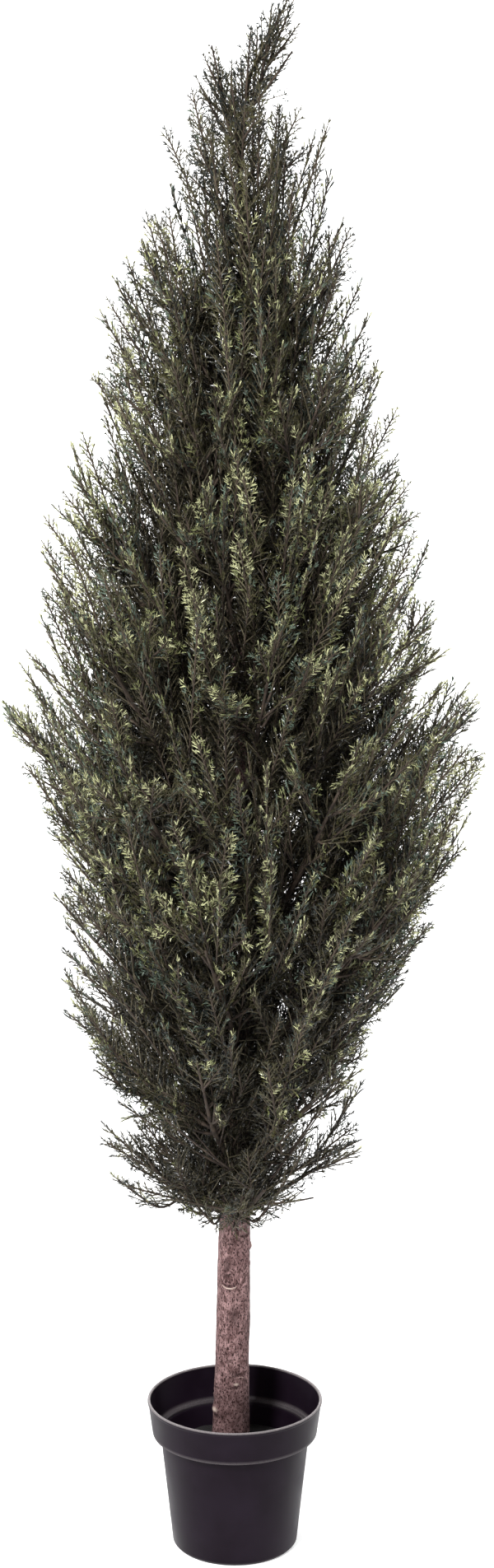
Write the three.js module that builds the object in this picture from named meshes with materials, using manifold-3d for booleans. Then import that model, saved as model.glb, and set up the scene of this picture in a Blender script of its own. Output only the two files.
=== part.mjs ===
// An artificial Italian cypress: a slim flame of needle sprays on a bark-covered pole, set in a
// weighted plastic nursery pot. Millimetres, +Z up, origin on the floor under the middle of the pot.
import * as THREE from "three";
import { mergeVertices } from "three/addons/utils/BufferGeometryUtils.js";
import Module from "manifold-3d";

const wasm = await Module();
wasm.setup();

// Driving dimensions.
const TREE_HEIGHT = 1800;
const POT_HEIGHT = 182;
const RIM_RADIUS = 104;
const COLLAR_HEIGHT = 42; // the upright band under the rim
const POT_BASE_RADIUS = 74;
const WALL = 2.2;
const FILL_TOP = 112; // height of the dark weighting that the pole stands in
const TRUNK_TOP = 1490;
const GAP = 0.3; // clearance that every piece keeps from its neighbours
const TREE_SEED = 61;

const POT_SIDES = 34;
const TRUNK_SIDES = 12;
const UP = new THREE.Vector3(0, 0, 1);
const GOLDEN_ANGLE = 2.39996;

// ---------------------------------------------------------------- solids

function solidFrom(geometry) {
  const bare = geometry.clone();
  bare.deleteAttribute("normal");
  bare.deleteAttribute("uv");
  const merged = mergeVertices(bare, 1e-4);
  const mesh = new wasm.Mesh({
    numProp: 3,
    vertProperties: merged.attributes.position.array,
    triVerts: new Uint32Array(merged.index.array),
  });
  return new wasm.Manifold(mesh);
}

function geometryFrom(solid) {
  const mesh = solid.getMesh();
  const geometry = new THREE.BufferGeometry();
  geometry.setAttribute("position", new THREE.BufferAttribute(mesh.vertProperties, 3));
  geometry.setIndex(new THREE.BufferAttribute(mesh.triVerts, 1));
  geometry.computeVertexNormals();
  return geometry;
}

// Joins solids into one. Its largest outer shell is kept, so scraps drop out and sealed hollows fill.
function fuse(solids) {
  const joined = solids.reduce((sum, next) => sum.add(next));
  return largestShell(joined);
}

function largestShell(solid) {
  const shells = solid.decompose();
  return shells.reduce((best, next) => (next.volume() > best.volume() ? next : best));
}

// A closed tapering limb along a stretch of a curve: radiusAt(share) gives its radius from the
// stretch's start (0) to its end (1).
function limbGeometry(curve, radiusAt, sides, steps, [fromShare, toShare] = [0, 1]) {
  const limb = new THREE.CylinderGeometry(1, 1, 1, sides, steps);
  limb.rotateX(Math.PI / 2); // the axis now runs along +Z, from -0.5 to 0.5
  const position = limb.attributes.position;
  const vertex = new THREE.Vector3();
  for (let i = 0; i < position.count; i += 1) {
    vertex.fromBufferAttribute(position, i);
    const share = THREE.MathUtils.clamp(vertex.z + 0.5, 0, 1);
    const place = THREE.MathUtils.lerp(fromShare, toShare, share);
    const along = curve.getTangent(place);
    const side = sideways(along);
    const front = new THREE.Vector3().crossVectors(along, side);
    const radius = radiusAt(share);
    const point = curve.getPoint(place);
    point.addScaledVector(side, vertex.x * radius);
    point.addScaledVector(front, vertex.y * radius);
    position.setXYZ(i, point.x, point.y, point.z);
  }
  return limb;
}

// A level direction square to the given one.
function sideways(direction) {
  const level = new THREE.Vector3().crossVectors(UP, direction);
  if (level.lengthSq() < 1e-6) {
    level.set(1, 0, 0);
  }
  return level.normalize();
}

function taper(rootRadius, tipRadius) {
  return (share) => rootRadius + (tipRadius - rootRadius) * share;
}

// ---------------------------------------------------------------- the seeded rule

// Numbers between low and high, the same ones for the same seed.
function drawsFrom(seed) {
  let state = seed >>> 0;
  return (low, high) => {
    state = (Math.imul(state, 1664525) + 1013904223) >>> 0;
    return low + ((high - low) * state) / 4294967296;
  };
}

// Straight-line reading of a table of [place, value] pairs.
function readTable(table, place) {
  const last = table.length - 1;
  if (place <= table[0][0]) return table[0][1];
  if (place >= table[last][0]) return table[last][1];
  const next = table.findIndex((row) => row[0] > place);
  const [fromPlace, fromValue] = table[next - 1];
  const [toPlace, toValue] = table[next];
  return fromValue + ((toValue - fromValue) * (place - fromPlace)) / (toPlace - fromPlace);
}

// ---------------------------------------------------------------- pot and its fill

const POT_COLOUR = 0x1d1b1e;
const FILL_COLOUR = 0x141211;
const COLLAR_FOOT = POT_HEIGHT - COLLAR_HEIGHT;
const COLLAR_FOOT_RADIUS = RIM_RADIUS - 6;
const SHOULDER_RADIUS = RIM_RADIUS - 15; // where the tapering body meets the collar
const FLOOR_THICKNESS = 3.5;

function bodyRadiusAt(height) {
  return POT_BASE_RADIUS + ((SHOULDER_RADIUS - POT_BASE_RADIUS) * height) / COLLAR_FOOT;
}

function lathe(profile) {
  const points = profile.map(([radius, height]) => new THREE.Vector2(radius, height));
  const turned = new THREE.LatheGeometry(points, POT_SIDES);
  turned.rotateX(Math.PI / 2);
  return turned;
}

function potGeometry() {
  const rimInside = RIM_RADIUS - 3;
  return lathe([
    [0, 0],
    [POT_BASE_RADIUS - 3, 0],
    [bodyRadiusAt(4), 4],
    [SHOULDER_RADIUS, COLLAR_FOOT],
    [COLLAR_FOOT_RADIUS, COLLAR_FOOT],
    [RIM_RADIUS - 0.8, POT_HEIGHT - 4],
    [RIM_RADIUS, POT_HEIGHT - 1.4],
    [RIM_RADIUS - 1, POT_HEIGHT],
    [rimInside + 0.4, POT_HEIGHT],
    [rimInside - 0.6, POT_HEIGHT - 1.6],
    [COLLAR_FOOT_RADIUS - WALL, COLLAR_FOOT + 2.5],
    [SHOULDER_RADIUS - WALL, COLLAR_FOOT - 4.5],
    [bodyRadiusAt(FLOOR_THICKNESS) - WALL, FLOOR_THICKNESS],
    [0, FLOOR_THICKNESS],
  ]);
}

function fillGeometry() {
  const inset = WALL + GAP;
  const bottom = FLOOR_THICKNESS + GAP;
  return lathe([
    [0, bottom],
    [bodyRadiusAt(bottom) - inset, bottom],
    [bodyRadiusAt(FILL_TOP) - inset, FILL_TOP],
    [0, FILL_TOP],
  ]);
}

// ---------------------------------------------------------------- trunk

const TRUNK_COLOUR = 0x7d6560;
const TRUNK_FOOT = FILL_TOP + GAP;
const TRUNK_LENGTH = TRUNK_TOP - TRUNK_FOOT;
const TRUNK_FOOT_RADIUS = 21;
const TRUNK_CROWN_RADIUS = 18.6; // where the lowest boughs leave
const TRUNK_TIP_RADIUS = 4.5;
const CROWN_FOOT = 405;
const FLARE = 3; // extra radius at the very foot
const FLARE_FADE = 45; // height over which the flare dies away

// The pole's sideways drift, as [height, drift along X] pairs.
const TRUNK_DRIFT = [
  [TRUNK_FOOT, -5],
  [400, 0],
  [1000, 6],
  [TRUNK_TOP, 14],
];

function trunkCentreAt(height) {
  return new THREE.Vector3(readTable(TRUNK_DRIFT, height), 0, height);
}

function trunkRadiusAt(height) {
  const flare = FLARE * Math.exp(-(height - TRUNK_FOOT) / FLARE_FADE);
  const taperTable = [
    [TRUNK_FOOT, TRUNK_FOOT_RADIUS],
    [CROWN_FOOT, TRUNK_CROWN_RADIUS],
    [TRUNK_TOP, TRUNK_TIP_RADIUS],
  ];
  return readTable(taperTable, height) + flare;
}

function trunkGeometry(grownBy, steps) {
  const trunk = new THREE.CylinderGeometry(1, 1, 1, TRUNK_SIDES, steps);
  trunk.rotateX(Math.PI / 2);
  const position = trunk.attributes.position;
  for (let i = 0; i < position.count; i += 1) {
    // More rings near the flared foot than higher up.
    const share = Math.max(0, position.getZ(i) + 0.5) ** 1.6;
    const height = TRUNK_FOOT + share * TRUNK_LENGTH;
    const radius = trunkRadiusAt(height) + grownBy;
    const x = trunkCentreAt(height).x + position.getX(i) * radius;
    const y = position.getY(i) * radius;
    position.setXYZ(i, x, y, height + (share === 1 ? grownBy : 0));
  }
  return trunk;
}

// ---------------------------------------------------------------- crown

const FOLIAGE_COLOUR = 0x2f3b24;
const BOUGH_COLOUR = 0x3b3028;

// Half the crown's width, and how far its middle stands to the side, against height.
const CROWN_HALF_WIDTH = [
  [CROWN_FOOT - 20, 60],
  [455, 152],
  [600, 172],
  [700, 212],
  [800, 230],
  [860, 258],
  [940, 278],
  [1010, 278],
  [1080, 240],
  [1230, 214],
  [1330, 182],
  [1450, 146],
  [1550, 117],
  [1660, 84],
  [1700, 46],
  [1765, 42],
  [TREE_HEIGHT, 16],
];
const CROWN_DRIFT = [
  [700, 0],
  [850, 28],
  [940, 24],
  [1010, 10],
  [1250, 4],
  [1450, 14],
  [1600, 18],
  [1660, 17],
  [1700, 2],
  [1765, 34],
  [TREE_HEIGHT, 56],
];

// The crown is built in tiers, each between two cones that open upwards: [foot height, rise per
// unit of radius]. The tier above the last cone is the leader's.
const TIER_CONES = [
  [392, 0.4],
  [430, 0.85],
  [515, 1.05],
  [640, 1.12],
  [780, 1.2],
  [930, 1.35],
  [1085, 1.55],
  [1240, 1.8],
  [1385, 2.1],
];
const MASSES_IN_TIER = [5, 5, 6, 6, 6, 6, 5, 4];
const BOUGH_TIERS = 2; // the lowest tiers, whose bare boughs show under the foliage
const TIER_TWIST = 0.7; // each tier starts this far round from the one below
const SPACE_MARGIN = 3; // clearance that a mass keeps from the sides of its space
const BOUGH_SHARE = 0.3; // part of a low limb's run that is bare bough
const LEADER_WAIST = new THREE.Vector3(8, 2, TRUNK_TOP + 140);
const LEADER_TOP = new THREE.Vector3(18, 0, TREE_HEIGHT - 78);
const LEADER_TIP = new THREE.Vector3(62, 0, TREE_HEIGHT); // the last spray leans over to here

function crownCentreAt(height) {
  return readTable(CROWN_DRIFT, height);
}

// How far a point lies inside the crown's outline.
function depthInCrown(point) {
  const fromMiddle = Math.hypot(point.x - crownCentreAt(point.z), point.y);
  const fromSide = readTable(CROWN_HALF_WIDTH, point.z) - fromMiddle;
  return Math.min(fromSide, TREE_HEIGHT + SPACE_MARGIN - point.z);
}

// The space of one mass: a sector of one tier.
function makeSpace(tier, index) {
  const isLeader = tier === MASSES_IN_TIER.length;
  const count = isLeader ? 1 : MASSES_IN_TIER[tier];
  return {
    floor: TIER_CONES[tier],
    roof: isLeader ? [TREE_HEIGHT * 2, 0] : TIER_CONES[tier + 1],
    middle: TIER_TWIST * tier + (index * 2 * Math.PI) / count,
    halfAngle: Math.PI / count,
    isLeader,
  };
}

function coneHeight([foot, rise], radius) {
  return foot + rise * radius;
}

function isInside(space, point, margin) {
  const centre = trunkCentreAt(point.z);
  const dx = point.x - centre.x;
  const radius = Math.hypot(dx, point.y);
  const floorSlack = (point.z - coneHeight(space.floor, radius)) / Math.hypot(1, space.floor[1]);
  const roofSlack = (coneHeight(space.roof, radius) - point.z) / Math.hypot(1, space.roof[1]);
  const turn = Math.atan2(point.y, dx) - space.middle;
  const wrapped = Math.atan2(Math.sin(turn), Math.cos(turn));
  const sideSlack = space.isLeader ? margin : radius * Math.sin(space.halfAngle - Math.abs(wrapped));
  const trunkSlack = point.z > TRUNK_TOP ? margin : radius - trunkRadiusAt(point.z);
  return Math.min(floorSlack, roofSlack, sideSlack, trunkSlack, depthInCrown(point)) >= margin;
}

// Distance from a point along a direction before the space ends.
function reachIn(space, from, direction, margin, farthest) {
  const step = 2;
  const probe = from.clone();
  let distance = 0;
  while (distance < farthest) {
    probe.addScaledVector(direction, step);
    if (!isInside(space, probe, margin)) break;
    distance += step;
  }
  return distance;
}

// The line that a mass's limb follows, from the trunk's axis to the crown's outline.
function limbCurve(space, draw) {
  if (space.isLeader) {
    const base = trunkCentreAt(TRUNK_TOP + GAP);
    return new THREE.CatmullRomCurve3([base, LEADER_WAIST, LEADER_TOP]);
  }
  const foot = (space.floor[0] + space.roof[0]) / 2;
  const rise = (space.floor[1] + space.roof[1]) / 2;
  const outward = new THREE.Vector3(Math.cos(space.middle), Math.sin(space.middle), 0);
  const axis = trunkCentreAt(foot);
  const pointAt = (radius) => {
    const point = axis.clone().addScaledVector(outward, radius);
    point.z = foot + rise * radius;
    return point;
  };
  let radius = 30;
  while (depthInCrown(pointAt(radius)) > 0) {
    radius += 2;
  }
  const length = (radius - 40) * draw(0.9, 1);
  const sway = new THREE.Vector3(-outward.y, outward.x, 0).multiplyScalar(draw(-0.06, 0.06) * length);
  const middle = pointAt(length * 0.5).add(sway);
  middle.z -= length * 0.03;
  return new THREE.CatmullRomCurve3([pointAt(0), middle, pointAt(length)]);
}

// Turns a direction away from the limb's own by an angle, to the side that the roll gives.
function branchDirection(along, roll, angle) {
  const side = sideways(along);
  const front = new THREE.Vector3().crossVectors(along, side);
  const away = side.multiplyScalar(Math.cos(roll)).addScaledVector(front, Math.sin(roll));
  const direction = along.clone().multiplyScalar(Math.cos(angle));
  return direction.addScaledVector(away, Math.sin(angle)).normalize();
}

const TWIGS_PER_MASS = 7;
const TWIGS_ON_LEADER = 12;
const SPRAY_LONGEST = 200;
const SPRAY_SHORTEST = 55;
const SPRAY_WIDTH = 0.62; // of its length
const TWIG_LONGEST = 230;
const SPRAY_SUNK = 10; // how far a spray's root reaches into the twig that it ends
const SPRAY_IN_REACH = 0.78; // a spray's share of its twig's reach

// Everything that one mass consists of, worked out as lines: its limb, twigs and sprays.
function growMass(space, seed) {
  const draw = drawsFrom(seed);
  const limb = limbCurve(space, draw);
  const twigs = [];
  const sprays = [];
  const turn = draw(0, 2 * Math.PI);
  const limbTip = limb.getPoint(1);
  const tipDirection = space.isLeader ? LEADER_TIP.clone().sub(limbTip).normalize() : limb.getTangent(1);
  addSpray(space, sprays, draw, limbTip, tipDirection, SPRAY_LONGEST);
  const count = space.isLeader ? TWIGS_ON_LEADER : TWIGS_PER_MASS;
  const [firstShare, lastShare] = space.isLeader ? [0.12, 0.92] : [0.36, 0.88];
  for (let i = 0; i < count; i += 1) {
    const share = firstShare + ((lastShare - firstShare) * i) / (count - 1);
    const from = limb.getPoint(share);
    const angle = draw(0.62, 0.9) - 0.25 * share;
    const direction = branchDirection(limb.getTangent(share), turn + i * GOLDEN_ANGLE, angle);
    const reach = reachIn(space, from, direction, SPACE_MARGIN, TWIG_LONGEST);
    const sprayLength = Math.min(SPRAY_LONGEST, reach * SPRAY_IN_REACH);
    const end = from.clone().addScaledVector(direction, reach - sprayLength);
    if (addSpray(space, sprays, draw, end, direction, sprayLength)) {
      twigs.push({ from, end });
    }
  }
  return { limb, twigs, sprays };
}

const SPRAY_CLEARANCE = 36;

// Adds a spray if it stays in the space and off its neighbours, shortened as far as that helps.
function addSpray(space, sprays, draw, root, direction, longest) {
  const roll = draw(0, Math.PI);
  const reach = reachIn(space, root, direction, SPACE_MARGIN, longest);
  const side = branchDirection(direction, roll, Math.PI / 2);
  for (let length = reach; length >= SPRAY_SHORTEST; length *= 0.85) {
    const spray = { root, direction, side, length };
    const fits = teethOf(spray).every((tooth) => isInside(space, tooth, SPACE_MARGIN));
    if (fits && sprays.every((other) => areApart(spray, other))) {
      sprays.push(spray);
      return true;
    }
  }
  return false;
}

function areApart(spray, other) {
  const shares = [0.35, 0.65, 0.95];
  const places = shares.map((share) => onSpray(other, share * other.length, 0, 0));
  return shares.every((share) => {
    const place = onSpray(spray, share * spray.length, 0, 0);
    return places.every((near) => near.distanceTo(place) > SPRAY_CLEARANCE);
  });
}

// A spray's outline on one side, as [share of length, share of half width]: a forward-swept tooth
// and the notch after it.
const SPRAY_TEETH = [
  [0.66, 1],
  [0.58, 0.42],
];
const SPRAY_HEART = 0.4; // its thickest place, as a share of its length
const SPRAY_THICKNESS = 0.034; // of its length

function onSpray(spray, along, across, up) {
  const normal = new THREE.Vector3().crossVectors(spray.direction, spray.side);
  const point = spray.root.clone().addScaledVector(spray.direction, along);
  return point.addScaledVector(spray.side, across).addScaledVector(normal, up);
}

function teethOf(spray) {
  const halfWidth = (spray.length * SPRAY_WIDTH) / 2;
  const tips = [onSpray(spray, spray.length, 0, 0)];
  for (const [along, across] of SPRAY_TEETH) {
    tips.push(onSpray(spray, along * spray.length, across * halfWidth, 0));
    tips.push(onSpray(spray, along * spray.length, -across * halfWidth, 0));
  }
  return tips;
}

// A toothed blade: an edge ring from its root round its teeth, and a heart point on each face.
function sprayGeometry(spray) {
  const halfWidth = (spray.length * SPRAY_WIDTH) / 2;
  const heartHeight = (spray.length * SPRAY_THICKNESS) / 2;
  const oneSide = SPRAY_TEETH.map(([along, across]) => [along * spray.length, -across * halfWidth]);
  const otherSide = oneSide.map(([along, across]) => [along, -across]).reverse();
  const edge = [[-SPRAY_SUNK, 0], ...oneSide, [spray.length, 0], ...otherSide];
  const points = edge.map(([along, across]) => onSpray(spray, along, across, 0));
  const hearts = [1, -1].map((face) => {
    points.push(onSpray(spray, SPRAY_HEART * spray.length, 0, face * heartHeight));
    return points.length - 1;
  });
  const faces = [];
  edge.forEach((_, i) => {
    const next = (i + 1) % edge.length;
    faces.push(hearts[0], i, next);
    faces.push(hearts[1], next, i);
  });
  const blade = new THREE.BufferGeometry().setFromPoints(points);
  blade.setIndex(faces);
  return blade;
}

const CORE_RIDGES = 3;
const CORE_TEETH = 3; // along each ridge
const CORE_IN_WEDGE = 0.92; // a tooth's reach against the half width of the space
const CORE_IN_TIER = 0.95; // and against the tier's half thickness
const CORE_WIDEST = 80;
const CORE_NOTCH = 0.5; // a notch's reach against a tooth's
const CORE_GROOVE = 0.32; // and that of the groove between two ridges
const CORE_SWEEP = 0.8; // how far a tooth leans forward, in steps along the limb

// The dense heart of a mass: the stem itself, feathered with ridges of forward-swept teeth.
function coreGeometry(space, limb, start) {
  const steps = 2 * CORE_TEETH + 1;
  const core = new THREE.CylinderGeometry(1, 1, 1, 2 * CORE_RIDGES, steps);
  core.rotateX(Math.PI / 2);
  const position = core.attributes.position;
  for (let i = 0; i < position.count; i += 1) {
    const x = position.getX(i);
    const y = position.getY(i);
    const step = Math.round((position.getZ(i) + 0.5) * steps);
    const onAxis = Math.hypot(x, y) < 0.5;
    const corner = Math.round(((Math.atan2(y, x) + Math.PI / 2) * CORE_RIDGES) / Math.PI);
    const onRidge = !onAxis && Math.abs(corner) % 2 === 0;
    const isTooth = onRidge && step > 0 && step < steps && step % 2 === 0;
    const share = start + ((1 - start) * (step + (isTooth ? CORE_SWEEP : 0))) / steps;
    const stem = THREE.MathUtils.lerp(LIMB_ROOT_RADIUS, LIMB_TIP_RADIUS, share);
    const along = limb.getTangent(share);
    const side = sideways(along);
    const front = new THREE.Vector3().crossVectors(along, side);
    const across = side.multiplyScalar(x).addScaledVector(front, y);
    let radius = stem;
    if (step > 1 && step < steps) {
      radius = coreReach(space, limb, share) * (isTooth ? 1 : onRidge ? CORE_NOTCH : CORE_GROOVE);
    }
    const place = limb.getPoint(share).addScaledVector(across, radius);
    while (radius > stem && !isInside(space, place, SPACE_MARGIN)) {
      radius *= 0.9;
      place.copy(limb.getPoint(share)).addScaledVector(across, radius);
    }
    position.setXYZ(i, place.x, place.y, place.z);
  }
  return core;
}

// How far a core may stand out from its limb at a place along it.
function coreReach(space, limb, share) {
  const place = limb.getPoint(share);
  const radius = Math.hypot(place.x - trunkCentreAt(place.z).x, place.y);
  const height = coneHeight(space.roof, radius) - coneHeight(space.floor, radius);
  const halfThickness = height / 2 / Math.hypot(1, space.floor[1]);
  const halfWidth = radius * Math.sin(space.halfAngle);
  const widest = Math.min(CORE_IN_WEDGE * halfWidth, CORE_IN_TIER * halfThickness, CORE_WIDEST);
  const room = space.isLeader ? CORE_WIDEST * 0.7 : widest;
  return room * Math.sin(Math.PI * (0.2 + 0.7 * share));
}

const LIMB_ROOT_RADIUS = 4.2;
const LIMB_TIP_RADIUS = 2;
const TWIG_ROOT_RADIUS = 2.4;
const TWIG_TIP_RADIUS = 1.9;
const BOUGH_ROOT_RADIUS = 6.5;
const FINEST_DETAIL = 0.05;

function massSolid(grown, space, tier, grownTrunk) {
  const clearOfBough = BOUGH_SHARE + (2 * GAP) / grown.limb.getLength();
  const start = tier < BOUGH_TIERS ? clearOfBough : 0;
  const solids = [solidFrom(coreGeometry(space, grown.limb, start))];
  for (const { from, end } of grown.twigs) {
    const line = new THREE.LineCurve3(from, end);
    solids.push(solidFrom(limbGeometry(line, taper(TWIG_ROOT_RADIUS, TWIG_TIP_RADIUS), 3, 1)));
  }
  for (const spray of grown.sprays) {
    solids.push(solidFrom(sprayGeometry(spray)));
  }
  return largestShell(fuse(solids).subtract(grownTrunk)).simplify(FINEST_DETAIL);
}

function boughSolid(grown, grownTrunk) {
  const radius = taper(BOUGH_ROOT_RADIUS, LIMB_ROOT_RADIUS);
  const bough = solidFrom(limbGeometry(grown.limb, radius, 6, 3, [0, BOUGH_SHARE]));
  return largestShell(bough.subtract(grownTrunk));
}

// ---------------------------------------------------------------- assembly

const materials = {
  pot: new THREE.MeshStandardMaterial({ color: POT_COLOUR, roughness: 0.45, metalness: 0 }),
  fill: new THREE.MeshStandardMaterial({ color: FILL_COLOUR, roughness: 0.9, metalness: 0 }),
  bark: new THREE.MeshStandardMaterial({ color: TRUNK_COLOUR, roughness: 0.85, metalness: 0 }),
  bough: new THREE.MeshStandardMaterial({ color: BOUGH_COLOUR, roughness: 0.8, metalness: 0 }),
  foliage: new THREE.MeshStandardMaterial({ color: FOLIAGE_COLOUR, roughness: 0.6, metalness: 0 }),
};

const tree = new THREE.Group();

function addPiece(name, geometry, material) {
  const piece = new THREE.Mesh(geometry, material);
  piece.name = name;
  tree.add(piece);
}

addPiece("pot", potGeometry(), materials.pot);
addPiece("pot_fill", fillGeometry(), materials.fill);
addPiece("trunk", trunkGeometry(0, 14), materials.bark);

const grownTrunk = solidFrom(trunkGeometry(GAP, 14));
for (let tier = 0; tier <= MASSES_IN_TIER.length; tier += 1) {
  const isLeader = tier === MASSES_IN_TIER.length;
  const count = isLeader ? 1 : MASSES_IN_TIER[tier];
  for (let index = 0; index < count; index += 1) {
    const space = makeSpace(tier, index);
    const grown = growMass(space, TREE_SEED + 97 * tier + 13 * index);
    const place = isLeader ? "leader" : `tier${tier + 1}_${index + 1}`;
    addPiece(`foliage_${place}`, geometryFrom(massSolid(grown, space, tier, grownTrunk)), materials.foliage);
    if (tier < BOUGH_TIERS) {
      addPiece(`bough_${place}`, geometryFrom(boughSolid(grown, grownTrunk)), materials.bough);
    }
  }
}

export default tree;
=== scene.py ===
import math

import bpy
import numpy as np
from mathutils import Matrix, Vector, noise


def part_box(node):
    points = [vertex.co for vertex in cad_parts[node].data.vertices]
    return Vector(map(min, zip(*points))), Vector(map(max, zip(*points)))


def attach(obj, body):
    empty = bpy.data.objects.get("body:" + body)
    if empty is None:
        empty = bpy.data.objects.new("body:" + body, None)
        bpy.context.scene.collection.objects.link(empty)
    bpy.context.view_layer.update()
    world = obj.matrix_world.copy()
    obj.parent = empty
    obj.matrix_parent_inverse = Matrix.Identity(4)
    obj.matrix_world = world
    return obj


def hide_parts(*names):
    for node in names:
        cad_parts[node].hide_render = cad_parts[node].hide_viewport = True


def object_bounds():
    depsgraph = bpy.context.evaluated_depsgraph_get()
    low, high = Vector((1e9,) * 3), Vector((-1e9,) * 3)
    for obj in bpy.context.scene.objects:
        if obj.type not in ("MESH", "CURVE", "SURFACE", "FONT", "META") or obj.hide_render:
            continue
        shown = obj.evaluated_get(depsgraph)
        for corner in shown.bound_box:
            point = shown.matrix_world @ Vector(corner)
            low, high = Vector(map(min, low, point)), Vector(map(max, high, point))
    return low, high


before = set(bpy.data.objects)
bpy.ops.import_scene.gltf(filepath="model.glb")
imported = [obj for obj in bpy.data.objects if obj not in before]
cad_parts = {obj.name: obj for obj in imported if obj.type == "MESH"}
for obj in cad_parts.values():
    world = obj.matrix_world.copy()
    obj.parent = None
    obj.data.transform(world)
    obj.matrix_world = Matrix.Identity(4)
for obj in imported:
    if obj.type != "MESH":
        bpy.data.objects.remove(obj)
cad_low, cad_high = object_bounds()


# ------------------------------------------------------------ the pot
# A nursery pot, injection moulded in black polypropylene: a tapering body, and a collar set out
# from it on a step so that pots can be stacked. The mould's sanded face left it satin, with a
# thin rounded lip that catches the light.
_, pot_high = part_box("pot")
RIM_RADIUS = pot_high.y
POT_TOP = pot_high.z
COLLAR_FOOT = POT_TOP - 0.042
FOOT_RADIUS = RIM_RADIUS - 0.030
SHOULDER_RADIUS = RIM_RADIUS - 0.015
COLLAR_FOOT_RADIUS = RIM_RADIUS - 0.006
WALL = 0.0022
POT_FLOOR = 0.0035

POT_PROFILE = [
    (FOOT_RADIUS - 0.020, 0.0012),
    (FOOT_RADIUS - 0.016, 0.0),
    (FOOT_RADIUS - 0.003, 0.0),
    (FOOT_RADIUS + 0.0005, 0.004),
    (SHOULDER_RADIUS - 0.0003, COLLAR_FOOT - 0.0006),
    (SHOULDER_RADIUS, COLLAR_FOOT),
    (COLLAR_FOOT_RADIUS, COLLAR_FOOT),
    (COLLAR_FOOT_RADIUS + 0.0004, COLLAR_FOOT + 0.0030),
    (RIM_RADIUS - 0.0010, POT_TOP - 0.0046),
    (RIM_RADIUS, POT_TOP - 0.0034),
    (RIM_RADIUS, POT_TOP - 0.0010),
    (RIM_RADIUS - 0.0010, POT_TOP),
    (RIM_RADIUS - 0.0026, POT_TOP),
    (RIM_RADIUS - 0.0036, POT_TOP - 0.0012),
    (COLLAR_FOOT_RADIUS - WALL, COLLAR_FOOT + 0.0030),
    (COLLAR_FOOT_RADIUS - WALL - 0.0010, COLLAR_FOOT + 0.0012),
    (SHOULDER_RADIUS - WALL + 0.0008, COLLAR_FOOT - 0.0036),
    (SHOULDER_RADIUS - WALL, COLLAR_FOOT - 0.0060),
    (FOOT_RADIUS - WALL, POT_FLOOR),
]


def linear(code):
    """Turns an sRGB hex value into the linear colour that a shader takes."""
    parts = [((code >> shift) & 255) / 255 for shift in (16, 8, 0)]
    return [p / 12.92 if p <= 0.04045 else ((p + 0.055) / 1.055) ** 2.4 for p in parts] + [1.0]


def new_material(name):
    """A named material, with its node tree and its Principled shader."""
    material = bpy.data.materials.new(name)
    material.use_nodes = True
    return material, material.node_tree, material.node_tree.nodes["Principled BSDF"]


def add_node(tree, kind, settings=None, links=None):
    """Adds a node with its settings, by property or by socket, and its incoming links."""
    node = tree.nodes.new(kind)
    for name, value in (settings or {}).items():
        if hasattr(node, name):
            setattr(node, name, value)
        else:
            node.inputs[name].default_value = value
    for name, source in (links or {}).items():
        tree.links.new(source, node.inputs[name])
    return node


def object_place(tree):
    return add_node(tree, "ShaderNodeTexCoord").outputs["Object"]


def noise_over(tree, place, size, detail, roughness=0.5):
    """A noise between 0 and 1 with a grain of the given size."""
    settings = {"Scale": 1 / size, "Detail": detail, "Roughness": roughness}
    return add_node(tree, "ShaderNodeTexNoise", settings, {"Vector": place}).outputs["Fac"]


def remap(tree, value, low, high, to_low, to_high):
    """A value carried from one range to another, and held at its ends."""
    settings = {"From Min": low, "From Max": high, "To Min": to_low, "To Max": to_high}
    return add_node(tree, "ShaderNodeMapRange", settings, {"Value": value}).outputs["Result"]


def combine(tree, operation, first, second):
    node = add_node(tree, "ShaderNodeMath", {"operation": operation})
    tree.links.new(first, node.inputs[0])
    tree.links.new(second, node.inputs[1])
    return node.outputs["Value"]


def tone_ramp(tree, value, *stops):
    """Two tones laid over a value, each given as (place, sRGB hex value)."""
    node = add_node(tree, "ShaderNodeValToRGB", links={"Fac": value})
    for mark, (position, code) in zip(node.color_ramp.elements, stops):
        mark.position = position
        mark.color = linear(code)
    return node.outputs["Color"]


def lay_over(tree, factor, ground, code):
    """A plain colour laid over a ground tone by a factor."""
    node = add_node(tree, "ShaderNodeMix", {"data_type": "RGBA", "blend_type": "MIX"})
    tree.links.new(factor, node.inputs[0])
    tree.links.new(ground, node.inputs[6])
    node.inputs[7].default_value = linear(code)
    return node.outputs[2]


def add_bump(tree, shader, height, strength, distance):
    node = add_node(
        tree, "ShaderNodeBump", {"Strength": strength, "Distance": distance}, {"Height": height}
    )
    tree.links.new(node.outputs["Normal"], shader.inputs["Normal"])


def finish_piece(piece, name, material, slot, *nodes):
    """Names a finished piece, gives it its material and ties it to the frame."""
    piece.name = name
    piece.data.name = name
    piece.data.materials.clear()
    piece.data.materials.append(material)
    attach(piece, "root")
    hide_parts(*nodes)


def deselect_mesh(kind):
    """Clears the active mesh's selection and leaves it picking by vertex, edge or face."""
    bpy.ops.object.mode_set(mode="EDIT")
    bpy.ops.mesh.select_mode(type=kind)
    bpy.ops.mesh.select_all(action="DESELECT")
    bpy.ops.object.mode_set(mode="OBJECT")


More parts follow.
